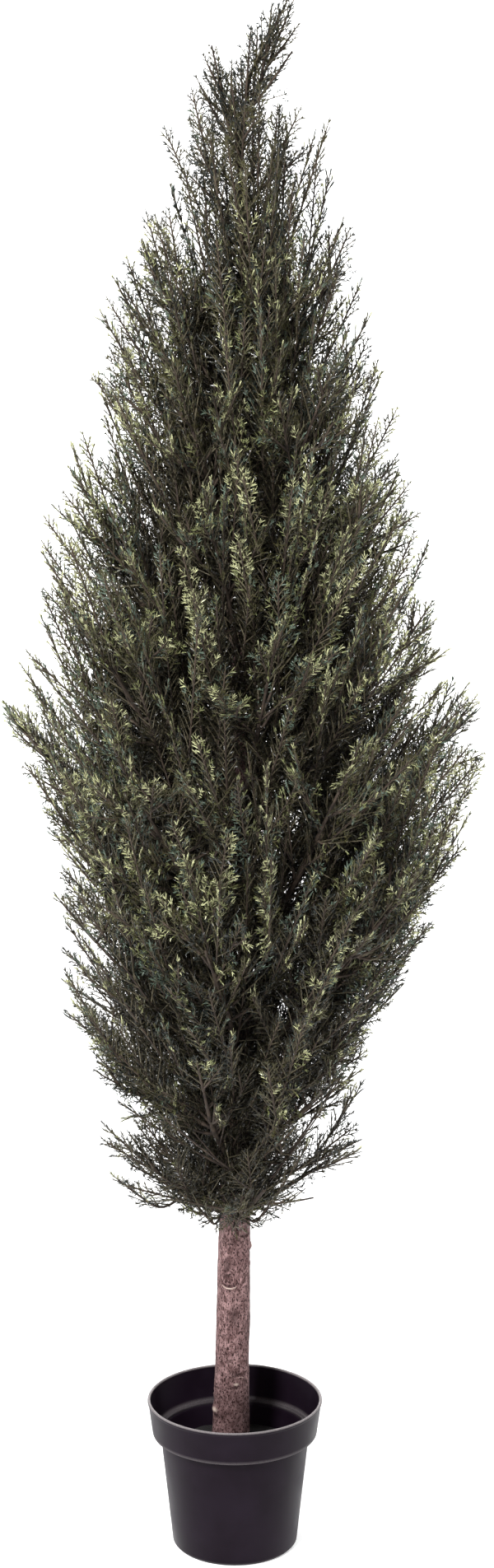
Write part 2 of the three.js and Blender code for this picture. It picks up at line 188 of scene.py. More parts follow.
# Moulded polypropylene: charcoal with a faint purple cast. The sanded mould face breaks the gloss
# into a broad sheen, and handling has dulled it in patches. The lip and the step, with the ledge
# inside at the step's height, are painted paler: partly wear from stacking, partly a painted highlight.
polypropylene, tree, shader = new_material("moulded_polypropylene")
shader.inputs["IOR"].default_value = 1.49
shader.inputs["Specular IOR Level"].default_value = 0.08
place = object_place(tree)
GRAIN = 0.0011  # the mould's grain, drawn coarser than the real 0.3 mm so that it shows
HANDLING = 0.05
grain = noise_over(tree, place, GRAIN, 2.0)
patches = noise_over(tree, place, HANDLING, 5.0)
dulling = remap(tree, patches, 0.35, 0.7, 0.36, 0.50)
facing = add_node(tree, "ShaderNodeNewGeometry").outputs["Normal"]
facing_up = add_node(tree, "ShaderNodeSeparateXYZ", links={"Vector": facing}).outputs["Z"]
# The mould's core is polished, so the ledge inside is glossier than the wall.
polish = remap(tree, facing_up, 0.45, 0.75, 0.0, 0.28)
tree.links.new(combine(tree, "SUBTRACT", dulling, polish), shader.inputs["Roughness"])
height_on_pot = add_node(tree, "ShaderNodeSeparateXYZ", links={"Vector": place}).outputs["Z"]
# Painted paler at the lip and at the collar's step: wear, and a painted highlight along these edges.
wear_and_highlight = add_node(tree, "ShaderNodeValToRGB", links={"Fac": height_on_pot})
STEP_WEAR_AND_HIGHLIGHT = 0.14
for level, paleness in [
    (COLLAR_FOOT - 0.0006, 0.0),
    (COLLAR_FOOT + 0.0002, STEP_WEAR_AND_HIGHLIGHT),
    (COLLAR_FOOT + 0.0010, STEP_WEAR_AND_HIGHLIGHT),
    (COLLAR_FOOT + 0.0020, 0.0),
    (POT_TOP - 0.0018, 0.0),
    (POT_TOP - 0.0006, 1.0),
]:
    mark = wear_and_highlight.color_ramp.elements.new(level)
    mark.color = (paleness, paleness, paleness, 1)
wear_and_highlight_here = combine(tree, "MULTIPLY", wear_and_highlight.outputs["Color"], remap(tree, grain, 0.3, 0.6, 0.55, 1.0))
bloom = tone_ramp(tree, patches, (0.38, 0x170F18), (0.66, 0x1E1620))
# The pale colour laid over the lip and the step is partly wear, partly a painted highlight.
tree.links.new(lay_over(tree, wear_and_highlight_here, bloom, 0xC4BCBC), shader.inputs["Base Color"])
add_bump(tree, shader, grain, 0.10, 0.0003)

bpy.ops.object.select_all(action="DESELECT")
foot_reach, foot_level = POT_PROFILE[0]
bpy.ops.mesh.primitive_circle_add(
    vertices=144, radius=foot_reach, fill_type="NGON", location=(0, 0, foot_level)
)
pot = bpy.context.object
bpy.ops.object.transform_apply(location=True)
bpy.ops.object.mode_set(mode="EDIT")
bpy.ops.mesh.select_all(action="SELECT")
for (reach, level), (next_reach, next_level) in zip(POT_PROFILE, POT_PROFILE[1:]):
    bpy.ops.mesh.extrude_region_move(TRANSFORM_OT_translate={"value": (0, 0, next_level - level)})
    widening = next_reach / reach
    bpy.ops.transform.resize(value=(widening, widening, 1), center_override=(0, 0, next_level))
bpy.ops.mesh.inset(thickness=0.03)
bpy.ops.mesh.select_all(action="SELECT")
bpy.ops.mesh.remove_doubles(threshold=1e-6)
bpy.ops.mesh.normals_make_consistent(inside=False)
bpy.ops.object.mode_set(mode="OBJECT")
rounding = pot.modifiers.new("rounding", "BEVEL")
rounding.limit_method = "ANGLE"
rounding.angle_limit = math.radians(24)
rounding.width = 0.0007
rounding.segments = 3
bpy.ops.object.modifier_apply(modifier=rounding.name)
bpy.ops.object.shade_smooth_by_angle(angle=math.radians(35))
finish_piece(pot, "nursery_pot", polypropylene, "pot_plastic", "pot")


# ------------------------------------------------------------ the weighting
# Dark cement poured round the pole to keep the tree upright. It set with a rough, slightly sunken
# top that has drawn up a little where it wets the pole and the wall.
fill_low, fill_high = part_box("pot_fill")
FILL_TOP = fill_high.z
FILL_RADIUS = fill_high.y
TRUNK_FOOT_X = -0.005

bpy.ops.object.select_all(action="DESELECT")
bpy.ops.mesh.primitive_cylinder_add(
    vertices=120,
    radius=FILL_RADIUS,
    depth=FILL_TOP - fill_low.z,
    end_fill_type="NGON",
    location=(0, 0, (FILL_TOP + fill_low.z) / 2),
)
weighting = bpy.context.object
bpy.ops.object.transform_apply(location=True)
deselect_mesh("FACE")
for face in weighting.data.polygons:
    face.select = face.normal.z > 0.9
bpy.ops.object.mode_set(mode="EDIT")
RIPPLES = 26
LUMP, LUMP_HEIGHT, SUNKEN = 0.012, 0.0011, 0.0015
for _ in range(RIPPLES):
    bpy.ops.mesh.inset(thickness=FILL_RADIUS / (RIPPLES + 1.5))
bpy.ops.mesh.select_all(action="DESELECT")
bpy.ops.object.mode_set(mode="OBJECT")
for vertex in weighting.data.vertices:
    if vertex.co.z > FILL_TOP - 0.001:
        level_place = Vector((vertex.co.x, vertex.co.y, 0))
        lumps = noise.fractal(level_place / LUMP, 0.8, 2.2, 3)
        from_pole = (level_place - Vector((TRUNK_FOOT_X, 0, 0))).length
        drawn_up = 0.003 * math.exp(-max(0, from_pole - 0.024) / 0.006)
        at_wall = 0.002 * math.exp(-(FILL_RADIUS - level_place.length) / 0.004)
        vertex.co.z += LUMP_HEIGHT * lumps + drawn_up + at_wall - SUNKEN
    else:
        vertex.co.xy *= (FOOT_RADIUS - 0.0025) / FILL_RADIUS
bpy.ops.object.shade_smooth_by_angle(angle=math.radians(40))

# Dyed cement: almost black, dead matt, with sand grains standing in it.
cement, tree, shader = new_material("dyed_cement")
shader.inputs["Roughness"].default_value = 0.92
SAND = 0.0016
sand = add_node(tree, "ShaderNodeTexVoronoi", {"Scale": 1 / SAND}, {"Vector": object_place(tree)})
tones = tone_ramp(tree, sand.outputs["Distance"], (0.05, 0x2B2827), (0.45, 0x131112))
tree.links.new(tones, shader.inputs["Base Color"])
add_bump(tree, shader, sand.outputs["Distance"], 0.6, 0.0008)
finish_piece(weighting, "cement_weighting", cement, "pot_fill", "pot_fill")


# ------------------------------------------------------------ the pole
# A straight natural pole with its own thin bark, which the crown is wired to. The bark is dry and
# finely fissured, with stubs where side shoots were cut, painted lighter on top and darker below
# as painted highlight and shade; curved cracks with a pale line on their ridge and a painted shadow
# in the groove beside it; and dark stains above them. It flares a little at its foot.
trunk_low, trunk_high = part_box("trunk")
POLE_FOOT = trunk_low.z
POLE_LENGTH = trunk_high.z - trunk_low.z
POLE_SIDES = 120

# The pole's sideways drift and its radius, against height, in metres.
POLE_DRIFT = [(POLE_FOOT, TRUNK_FOOT_X), (0.400, 0.0), (1.000, 0.006), (1.490, 0.014)]
POLE_RADIUS = [(POLE_FOOT, 0.0210), (0.405, 0.0186), (1.490, 0.0045)]
FLARE, FLARE_FADE = 0.003, 0.045


def read_table(table, position):
    """Straight-line reading of a table of (place, value) pairs."""
    places, values = zip(*table)
    return np.interp(position, places, values)


# Cut side shoots and healed wounds: height, bearing from the front, half height, raise, hollow.
STUBS = [
    (0.168, math.radians(-62), 0.0055, 0.0030, 0.0016),
    (0.205, math.radians(14), 0.0035, 0.0016, 0.0010),
    (0.345, math.radians(-20), 0.0030, 0.0012, 0.0012),
    (0.300, math.radians(150), 0.0060, 0.0022, 0.0012),
    (0.236, math.radians(-128), 0.0040, 0.0018, 0.0010),
    (0.372, math.radians(95), 0.0045, 0.0020, 0.0012),
]
# Curved cracks: height, bearing, half length, how far the middle sags, and how pale its edge is.
CRACKS = [
    (0.3305, math.radians(-16), 0.0095, 0.0030, 1.0),
    (0.2125, math.radians(24), 0.0080, -0.0035, 0.6),
    (0.2350, math.radians(-8), 0.0050, 0.0015, 0.35),
    (0.3900, math.radians(40), 0.0060, 0.0020, 0.4),
    (0.2700, math.radians(170), 0.0090, 0.0030, 0.8),
    (0.3500, math.radians(112), 0.0070, -0.0025, 0.6),
    (0.1900, math.radians(-100), 0.0080, 0.0030, 0.7),
]
# Stains: height, bearing, half width, half height and strength.
STAINS = [
    (0.3520, math.radians(-24), 0.0050, 0.0120, 0.95),
    (0.2930, math.radians(4), 0.0060, 0.0130, 0.85),
    (0.3880, math.radians(-10), 0.0120, 0.0120, 0.5),
    (0.2200, math.radians(8), 0.0060, 0.0060, 0.6),
    (0.1650, math.radians(25), 0.0120, 0.0250, 0.5),
    (0.3100, math.radians(140), 0.0070, 0.0140, 0.6),
    (0.2400, math.radians(-120), 0.0080, 0.0160, 0.55),
]


def offset_on_bark(bearing, height, radius, mark_bearing, mark_height):
    """How far a place lies from a mark, round the pole and up it."""
    turn = math.atan2(math.sin(bearing - mark_bearing), math.cos(bearing - mark_bearing))
    return turn * radius, height - mark_height


CRACK_END, CRACK_REACH = 1.2, 0.012  # a crack's marks stop here, as a share of it and across it


def cracks_near(bearing, height, radius):
    """How far a place lies off each crack near it, how much of the crack is left, and how pale."""
    for mark_height, mark_bearing, half, sag, pale in CRACKS:
        aside, along = offset_on_bark(bearing, height, radius, mark_bearing, mark_height)
        share = aside / half
        if abs(share) < CRACK_END and abs(along) < CRACK_REACH:
            yield along + sag * (1 - share * share), math.exp(-(share**4)), pale


def swell(offset, width):
    return math.exp(-((offset / width) ** 2))


# A crack's pale lip and the painted shadow in its groove: their widths, the shadow's offset and strength.
LIP_WIDTH, SHADOW_OFFSET, SHADOW_WIDTH, SHADOW_STRENGTH = 0.0009, 0.0024, 0.0012, 0.9


def bark_marks_and_painted_light(bearing, height, radius):
    """How dark, below zero, or pale, above it, the bark's stains and marks, with their painted shade and
    highlights, leave one place.
    """
    tone = 0.0
    for off_line, fade, pale in cracks_near(bearing, height, radius):
        # Each crack gets a pale line on its ridge and a painted shadow in the groove beside it.
        tone += fade * pale * swell(off_line, LIP_WIDTH)
        tone -= fade * SHADOW_STRENGTH * swell(off_line - SHADOW_OFFSET, SHADOW_WIDTH)
    for mark_height, mark_bearing, half_width, half_height, strength in STAINS:
        aside, along = offset_on_bark(bearing, height, radius, mark_bearing, mark_height)
        tone -= strength * math.exp(-((aside / half_width) ** 2) - (along / half_height) ** 2)
    # Each stub is painted lighter on top, as a painted highlight, and darker below, as painted shade in
    # the hollow under it.
    for mark_height, mark_bearing, half, _, _ in STUBS:
        aside, along = offset_on_bark(bearing, height, radius, mark_bearing, mark_height)
        tone += 0.8 * math.exp(-((aside / half) ** 2) - ((along - half * 0.7) / (half * 0.5)) ** 2)
        tone -= 1.0 * math.exp(-((aside / half) ** 2) - ((along + half * 0.7) / (half * 0.5)) ** 2)
    return tone


# The bark's relief: the sizes of its fissures, threads, swellings and plates, then a crack's
# ridge and groove.
FISSURE, THREAD, SWELLING, PLATE = 0.0030, 0.0013, 0.030, 0.0075
RIDGE_HEIGHT, RIDGE_WIDTH = 0.0011, 0.0016
GROOVE_DEPTH, GROOVE_OFFSET, GROOVE_WIDTH = 0.0014, 0.0026, 0.0014


def bark_relief(bearing, height, radius):
    """How far the bark stands out from the pole's plain taper at one place."""
    around = Vector((math.sin(bearing), -math.cos(bearing), 0)) * radius
    strip = around + Vector((0, 0, height * 0.16))
    fissures = abs(noise.noise(strip / FISSURE))
    threads = noise.noise((around + Vector((0, 0, height * 0.22))) / THREAD)
    swelling = noise.noise((around + Vector((0, 0, height * 0.5))) / SWELLING)
    plates = max(0.0, noise.noise(strip / PLATE) - 0.12)
    relief = 0.00055 * fissures + 0.00022 * threads + 0.0007 * swelling + 0.0016 * plates
    for stub_height, stub_bearing, half, raised, hollow in STUBS:
        aside, along = offset_on_bark(bearing, height, radius, stub_bearing, stub_height)
        across, up = aside / (half * 1.9), along / half
        if abs(across) < 3 and abs(up) < 3:
            relief += raised * math.exp(-(across**2) - (up - 0.3) ** 2)
            relief -= hollow * math.exp(-((across * 1.1) ** 2) - ((up + 0.75) * 2.2) ** 2)
    for off_line, fade, _ in cracks_near(bearing, height, radius):
        relief += fade * RIDGE_HEIGHT * swell(off_line, RIDGE_WIDTH)
        relief -= fade * GROOVE_DEPTH * swell(off_line - GROOVE_OFFSET, GROOVE_WIDTH)
    return relief


bpy.ops.object.select_all(action="DESELECT")
bpy.ops.mesh.primitive_cylinder_add(
    vertices=POLE_SIDES, radius=1, depth=1, end_fill_type="NGON", location=(0, 0, 0.5)
)
pole = bpy.context.object
bpy.ops.object.transform_apply(location=True)
deselect_mesh("EDGE")
for longer_than, cuts in [(0.5, 100), (0.001, 2)]:
    heights = [vertex.co.z for vertex in pole.data.vertices]
    for edge in pole.data.edges:
        edge.select = abs(heights[edge.vertices[0]] - heights[edge.vertices[1]]) > longer_than
    bpy.ops.object.mode_set(mode="EDIT")
    bpy.ops.mesh.subdivide(number_cuts=cuts)
    bpy.ops.mesh.select_all(action="DESELECT")
    bpy.ops.object.mode_set(mode="OBJECT")
# Most rings lie low down, where the bark is in full view: share of the rings against height.
RING_PLACES = [(0.0, POLE_FOOT), (0.76, 0.43), (1.0, POLE_FOOT + POLE_LENGTH)]
marks_and_painted_light = []
for vertex in pole.data.vertices:
    height = float(read_table(RING_PLACES, vertex.co.z))
    bearing = math.atan2(vertex.co.x, -vertex.co.y)
    radius = read_table(POLE_RADIUS, height)
    radius += FLARE * math.exp(-(height - POLE_FOOT) / FLARE_FADE)
    marks_and_painted_light.append(bark_marks_and_painted_light(bearing, height, radius))
    radius += bark_relief(bearing, height, radius) - 0.0004
    x = read_table(POLE_DRIFT, height) + radius * math.sin(bearing)
    vertex.co = (x, -radius * math.cos(bearing), height)
pole.data.attributes.new("marks_and_painted_light", "FLOAT", "POINT").data.foreach_set("value", marks_and_painted_light)
bpy.ops.object.shade_smooth_by_angle(angle=math.radians(60))

# Dry bark: grey-brown with a pink cast, dead matt, speckled all over with fine dark flecks and
# rubbed pale between them. Cracks, stains, and the painted shade and highlights at the cracks and
# stubs follow the marks that the mesh carries.
bark, tree, shader = new_material("dry_bark")
shader.inputs["Roughness"].default_value = 0.88
shader.inputs["Specular IOR Level"].default_value = 0.25
place = object_place(tree)
upright = add_node(tree, "ShaderNodeMapping", {"Scale": (1.0, 1.0, 0.55)}, {"Vector": place})
upright = upright.outputs["Vector"]
FLECK, MOTTLE, CLOUD = 0.0016, 0.0042, 0.030
flecks = noise_over(tree, upright, FLECK, 2.0)
mottle = noise_over(tree, upright, MOTTLE, 4.0, 0.65)
cloud = noise_over(tree, place, CLOUD, 3.0)
marks = add_node(tree, "ShaderNodeAttribute", {"attribute_name": "marks_and_painted_light"}).outputs["Fac"]
tone = tone_ramp(tree, mottle, (0.38, 0x573E3D), (0.64, 0xA88887))
tone = lay_over(tree, remap(tree, cloud, 0.38, 0.62, 0.0, 0.55), tone, 0x5B4343)
tone = lay_over(tree, remap(tree, flecks, 0.40, 0.47, 1.0, 0.0), tone, 0x301E1D)
tone = lay_over(tree, remap(tree, marks, -1.0, 0.0, 0.85, 0.0), tone, 0x30201F)  # the stains, and the painted shade in the cracks' grooves and under the stubs
tone = lay_over(tree, remap(tree, marks, 0.15, 0.8, 0.0, 0.9), tone, 0xCDBBAE)  # the pale lines on the cracks' ridges, and the painted highlight on top of the stubs
tree.links.new(tone, shader.inputs["Base Color"])
add_bump(tree, shader, flecks, 0.55, 0.0006)
finish_piece(pole, "bark_pole", bark, "trunk_bark", "trunk")


# ------------------------------------------------------------ boughs and twigs
# Wire boughs wrapped in brown tape leave the pole in a rising spiral and fork into twigs. They
# follow one seeded rule, so that every mass of the crown keeps to its own space. Sizes are in
# millimetres from here to the studio, and the finished meshes are turned to metres.
MM = 0.001
TREE_HEIGHT = round(cad_high.z * 1000)
TREE_SEED = 61
GOLDEN_ANGLE = 2.39996
TRUNK_TOP = 1490
CROWN_TOP = 1800
GAP = 0.3
FLARE_FOOT = 112.3  # where the pole's flare is widest

# Half the crown's width, and how far its middle stands to the side, against height.
CROWN_HALF_WIDTH = [
    (385, 60), (455, 152), (600, 172), (700, 212), (800, 230), (860, 258), (940, 278),
    (1010, 278), (1080, 240), (1230, 214), (1330, 182), (1450, 146), (1550, 117), (1660, 84),
    (1700, 46), (1765, 42), (1800, 16),
]  # fmt: skip
CROWN_DRIFT = [
    (700, 0), (850, 28), (940, 24), (1010, 10), (1250, 4), (1450, 14), (1600, 18),
    (1660, 17), (1700, 2), (1765, 34), (1800, 56),
]  # fmt: skip
TIER_CONES = [
    (392, 0.4), (430, 0.85), (515, 1.05), (640, 1.12), (780, 1.2), (930, 1.35), (1085, 1.55),
    (1240, 1.8), (1385, 2.1),
]  # fmt: skip
MASSES_IN_TIER = [5, 5, 6, 6, 6, 6, 5, 4]
LEADER = len(MASSES_IN_TIER)
TIER_TWIST = 0.7
SPACE_MARGIN = 3
LEADER_WAIST = np.array([8.0, 2.0, TRUNK_TOP + 140])
LEADER_TOP = np.array([18.0, 0.0, 1722.0])
LEADER_TIP = np.array([62.0, 0.0, 1800.0])
SECOND_TIP = np.array([-24.0, 8.0, 1752.0])
UP = np.array([0.0, 0.0, 1.0])


def draws_from(seed):
    """Numbers between low and high, the same ones for the same seed."""
    state = seed & 0xFFFFFFFF

    def draw(low, high):
        nonlocal state
        state = (state * 1664525 + 1013904223) & 0xFFFFFFFF
        return low + (high - low) * state / 4294967296

    return draw


def pole_centre(height):
    return 1000 * read_table(POLE_DRIFT, height / 1000)


def pole_radius(height):
    flare = 1000 * FLARE * math.exp(-(height - FLARE_FOOT) / (1000 * FLARE_FADE))
    return 1000 * read_table(POLE_RADIUS, height / 1000) + flare


def depth_in_crown(point):
    """How far inside the crown's outline a point lies."""
    from_middle = math.hypot(point[0] - read_table(CROWN_DRIFT, point[2]), point[1])
    from_side = read_table(CROWN_HALF_WIDTH, point[2]) - from_middle
    return min(from_side, CROWN_TOP + SPACE_MARGIN - point[2])


def cone_height(cone, radius):
    return cone[0] + cone[1] * radius


def make_space(tier, index):
    """The space of one mass: a sector between two cones that open upwards."""
    count = 1 if tier == LEADER else MASSES_IN_TIER[tier]
    return {
        "floor": TIER_CONES[tier],
        "roof": (3600, 0) if tier == LEADER else TIER_CONES[tier + 1],
        "middle": TIER_TWIST * tier + index * 2 * math.pi / count,
        "half_angle": math.pi / count,
        "is_leader": tier == LEADER,
    }


def is_inside(space, point, margin):
    dx = point[0] - pole_centre(point[2])
    radius = math.hypot(dx, point[1])
    floor, roof = space["floor"], space["roof"]
    floor_slack = (point[2] - cone_height(floor, radius)) / math.hypot(1, floor[1])
    if floor_slack < margin:
        return False
    if (cone_height(roof, radius) - point[2]) / math.hypot(1, roof[1]) < margin:
        return False
    turn = math.atan2(point[1], dx) - space["middle"]
    wrapped = math.atan2(math.sin(turn), math.cos(turn))
    if not space["is_leader"] and radius * math.sin(space["half_angle"] - abs(wrapped)) < margin:
        return False
    if point[2] <= TRUNK_TOP and radius - pole_radius(point[2]) < margin:
        return False
    return depth_in_crown(point) >= margin


def reach_in(space, start, direction, margin, farthest):
    """Distance from a point along a direction before the space ends."""
    step = 2
    distance = 0
    while distance < farthest:
        if not is_inside(space, start + direction * (distance + step), margin):
            break
        distance += step
    return distance


def unit(vector):
    return vector / np.linalg.norm(vector)


def sideways(direction):
    """A level direction square to the given one."""
    level = np.cross(UP, direction)
    if level @ level < 1e-6:
        return np.array([1.0, 0.0, 0.0])
    return unit(level)


def branch_direction(along, roll, angle):
    side = sideways(along)
    away = side * math.cos(roll) + np.cross(along, side) * math.sin(roll)
    return unit(along * math.cos(angle) + away * math.sin(angle))


class LimbLine:
    """A smooth line through three points, evened out by the spacing of the points."""

    def __init__(self, start, middle, end):
        self.knots = [2 * start - middle, start, middle, end, 2 * end - middle]

    def point(self, share):
        leg = min(int(share * 2), 1)
        part = share * 2 - leg
        a, b, c, d = self.knots[leg : leg + 4]
        before, between, after = (math.sqrt(np.linalg.norm(q - p)) for p, q in ((a, b), (b, c), (c, d)))
        start_slope = (b - a) / before - (c - a) / (before + between) + (c - b) / between
        end_slope = (c - b) / between - (d - b) / (between + after) + (d - c) / after
        start_slope *= between
        end_slope *= between
        square = 3 * (c - b) - 2 * start_slope - end_slope
        cube = 2 * (b - c) + start_slope + end_slope
        return b + start_slope * part + square * part**2 + cube * part**3

    def tangent(self, share):
        low, high = max(0, share - 1e-4), min(1, share + 1e-4)
        return unit(self.point(high) - self.point(low))


def limb_line(space, draw):
    """The line that a mass's limb follows, from the pole's axis to the crown's outline."""
    if space["is_leader"]:
        height = TRUNK_TOP + GAP
        return LimbLine(np.array([pole_centre(height), 0, height]), LEADER_WAIST, LEADER_TOP)
    foot = (space["floor"][0] + space["roof"][0]) / 2
    rise = (space["floor"][1] + space["roof"][1]) / 2
    outward = np.array([math.cos(space["middle"]), math.sin(space["middle"]), 0.0])
    axis = np.array([pole_centre(foot), 0.0, 0.0])

    def point_at(radius):
        return axis + outward * radius + UP * (foot + rise * radius)

    radius = 30
    while depth_in_crown(point_at(radius)) > 0:
        radius += 2
    length = (radius - 40) * draw(0.9, 1)
    sway = np.array([-outward[1], outward[0], 0.0]) * draw(-0.06, 0.06) * length
    middle = point_at(length * 0.5) + sway - UP * length * 0.03
    return LimbLine(point_at(0), middle, point_at(length))


TWIGS_PER_MASS, TWIGS_ON_LEADER = 7, 12
SPRAY_LONGEST, SPRAY_SHORTEST, SPRAY_WIDTH = 200, 55, 0.62
TWIG_LONGEST, SPRAY_IN_REACH, SPRAY_CLEARANCE = 230, 0.78, 36
SPRAY_TEETH = [(0.66, 1), (0.58, 0.42)]


def add_fan(space, fans, draw, root, direction, longest):
    """Adds a fan of sprays if it stays in the space and off its neighbours."""
    roll = draw(0, math.pi)
    length = reach_in(space, root, direction, SPACE_MARGIN, longest)
    side = branch_direction(direction, roll, math.pi / 2)
    while length >= SPRAY_SHORTEST:
        half_width = length * SPRAY_WIDTH / 2
        tips = [root + direction * length]
        for along, across in SPRAY_TEETH:
            tips.append(root + direction * along * length + side * across * half_width)
            tips.append(root + direction * along * length - side * across * half_width)
        marks = np.array([root + direction * share * length for share in (0.35, 0.65, 0.95)])
        gaps = [np.linalg.norm(marks[:, None] - fan["marks"][None], axis=2).min() for fan in fans]
        fits = all(is_inside(space, tip, SPACE_MARGIN) for tip in tips)
        if fits and all(gap > SPRAY_CLEARANCE for gap in gaps):
            fan = {"root": root, "start": root, "direction": direction}
            fans.append(fan | {"side": side, "length": length, "marks": marks})
            return True
        length *= 0.85
    return False


def grow_mass(space, seed):
    """The limb of one mass, and the fans that its main twigs end in."""
    draw = draws_from(seed)
    limb = limb_line(space, draw)
    fans = []
    turn = draw(0, 2 * math.pi)
    tip = limb.point(1)
    tip_direction = unit(LEADER_TIP - tip) if space["is_leader"] else limb.tangent(1)
    add_fan(space, fans, draw, tip, tip_direction, SPRAY_LONGEST)
    count = TWIGS_ON_LEADER if space["is_leader"] else TWIGS_PER_MASS
    first, last = (0.12, 0.92) if space["is_leader"] else (0.36, 0.88)
    for i in range(count):
        share = first + (last - first) * i / (count - 1)
        start = limb.point(share)
        angle = draw(0.62, 0.9) - 0.25 * share
        direction = branch_direction(limb.tangent(share), turn + i * GOLDEN_ANGLE, angle)
        reach = reach_in(space, start, direction, SPACE_MARGIN, TWIG_LONGEST)
        fan_length = min(SPRAY_LONGEST, reach * SPRAY_IN_REACH)
        end = start + direction * (reach - fan_length)
        if add_fan(space, fans, draw, end, direction, fan_length):
            fans[-1]["start"] = start
    return {"limb": limb, "fans": fans, "seed": seed, "space": space}


masses = []
for tier in range(LEADER + 1):
    for index in range(1 if tier == LEADER else MASSES_IN_TIER[tier]):
        masses.append(grow_mass(make_space(tier, index), TREE_SEED + 97 * tier + 13 * index))


# Every plume of foliage hangs on one stalk: a line of points, the flat side of its sprays, how
# far from its start it is bare, and how long its lowest sprays are.
STALK_STEPS = 6
END_SPRAY = 14

# The skin that the plumes' tips make: half its width, and how far its middle stands to the side,
# against height. It keeps to the crown's outline, with the steps that one whorl makes over another.
SKIN_HALF_WIDTH = [
    (400, 36), (425, 66), (450, 150), (480, 162), (540, 160), (590, 164), (640, 186), (680, 206),
    (730, 210), (780, 228), (830, 250), (870, 244), (900, 266), (950, 268), (1020, 275),
    (1043, 266), (1070, 240), (1110, 235), (1180, 227), (1240, 218), (1275, 194), (1300, 194),
    (1330, 180), (1370, 170), (1430, 164), (1480, 150), (1505, 126), (1550, 124), (1575, 110),
    (1620, 106), (1665, 98), (1682, 64), (1710, 50), (1740, 40), (1765, 20), (1796, 12),
]  # fmt: skip
SKIN_DRIFT = [
    (400, -6), (430, 0), (450, -16), (480, -6), (540, -8), (680, -6), (730, 10), (780, 20),
    (870, 22), (950, 22), (1020, 10), (1043, 10), (1070, -6), (1110, 6), (1300, -4), (1330, 18),
    (1370, 4), (1505, 2), (1550, 14), (1575, 6), (1620, 14), (1665, 20), (1682, -6), (1710, 1),
    (1740, 10), (1765, 36), (1796, 50),
]  # fmt: skip


SKIN_SLACK = 5
FOOT_STEEPNESS = 1.08  # turns a height over the lowest cone into a distance from it


def depth_under_skin(points):
    """How far points lie under the skin at the crown's side, top and foot."""
    middle = read_table(SKIN_DRIFT, points[..., 2])
    wide = read_table(SKIN_HALF_WIDTH, points[..., 2]) + SKIN_SLACK
    from_side = wide - np.hypot(points[..., 0] - middle, points[..., 1])
    radius = np.hypot(points[..., 0] - pole_centre(points[..., 2]), points[..., 1])
    over_foot = (points[..., 2] - cone_height(TIER_CONES[0], radius)) / FOOT_STEEPNESS
    return np.minimum(np.minimum(from_side, TREE_HEIGHT - points[..., 2]), over_foot)


# The notches that stay open between the five lowest boughs: half the width of the foliage that a
# bough carries, as an angle round the pole, against height.
NOTCH_TOP = 600
BOUGH_SPREAD = [(400, 0.34), (470, 0.38), (560, 0.46), (NOTCH_TOP, 0.629)]
COLLAR_RADIUS = 42


def in_notch(points):
    """Whether points lie in an open notch, clear of the twigs that stand close round the pole."""
    dx = points[..., 0] - pole_centre(points[..., 2])
    step = 2 * math.pi / MASSES_IN_TIER[0]
    off_bough = np.abs((np.arctan2(points[..., 1], dx) + step / 2) % step - step / 2)
    spread = read_table(BOUGH_SPREAD, points[..., 2])
    beyond_collar = np.hypot(dx, points[..., 1]) > COLLAR_RADIUS
    return (off_bough > spread) & beyond_collar & (points[..., 2] < NOTCH_TOP)


PLUME_RISE = [(400, 0.2), (500, 0.55), (700, 0.78), (1000, 0.88), (1300, 1.02), (1600, 1.2), (1800, 1.4)]


STEEPEST, RISE_INWARDS, RISE_SWAY, BEARING_SWAY = 1.5, 0.55, 0.2, 0.4


def plume_direction(point, draw):
    """Plumes stand outwards and up, the more steeply the higher and the nearer the pole."""
    dx = point[0] - pole_centre(point[2])
    radius = math.hypot(dx, point[1])
    inwards = 1 - radius / max(radius + depth_in_crown(point), 1)
    rise = read_table(PLUME_RISE, point[2]) + RISE_INWARDS * inwards + draw(-RISE_SWAY, RISE_SWAY)
    rise = min(STEEPEST, rise)
    bearing = math.atan2(point[1], dx) + draw(-BEARING_SWAY, BEARING_SWAY)
    level = math.cos(rise)
    return np.array([math.cos(bearing) * level, math.sin(bearing) * level, math.sin(rise)])


SHORTEST_FEED, FEED_BEND = 6, 0.45


def stalk_line(start, root, direction, length, lift):
    """A line from a limb, bending into a plume's direction at its root and lifting at its tip."""
    run = np.linalg.norm(root - start)
    line = []
    if run > SHORTEST_FEED:
        bend = root - direction * FEED_BEND * run
        for step in np.linspace(0, 1, STALK_STEPS)[:-1]:
            line.append(start * (1 - step) ** 2 + bend * 2 * step * (1 - step) + root * step**2)
    for step in np.linspace(0, 1, STALK_STEPS):
        line.append(root + direction * step * length + UP * lift * length * step**2)
    return np.array(line), run


def room_along(point, direction, longest, wanted):
    """The length along a direction that leaves the wanted depth under the crown's skin."""
    length = longest
    while length > 0 and depth_under_skin(point + direction * length) < wanted:
        length -= 4
    return length


SKIN_PLUMES, INNER_PLUMES = 680, 150
PLUME_LONGEST, PLUME_SHORTEST = 195, 60
SKIN_FOOT, SKIN_TOP = 425, 1785
SCATTERED_SHARE, SCATTER = 0.6, 75  # this share of the skin's plumes end up to so far under it
INNER_FROM, INNER_TO = 60, 150
CANDIDATES = 3
LIMBS_TRIED = 30


FAN_REACH, FAN_SHORTEST, FAN_DEPTH, FAN_BARE, FAN_SPRAY = 0.9, 30, 6, 0.25, 48
SIDE_FROM, SIDE_TO, SIDE_SPACING = 0.1, 0.56, 34  # side stalks leave a fan's middle one here
SIDE_LEAN, SIDE_DEPTH, SIDE_SHORTEST, SIDE_SPRAY = (0.42, 0.6), 12, 26, 40


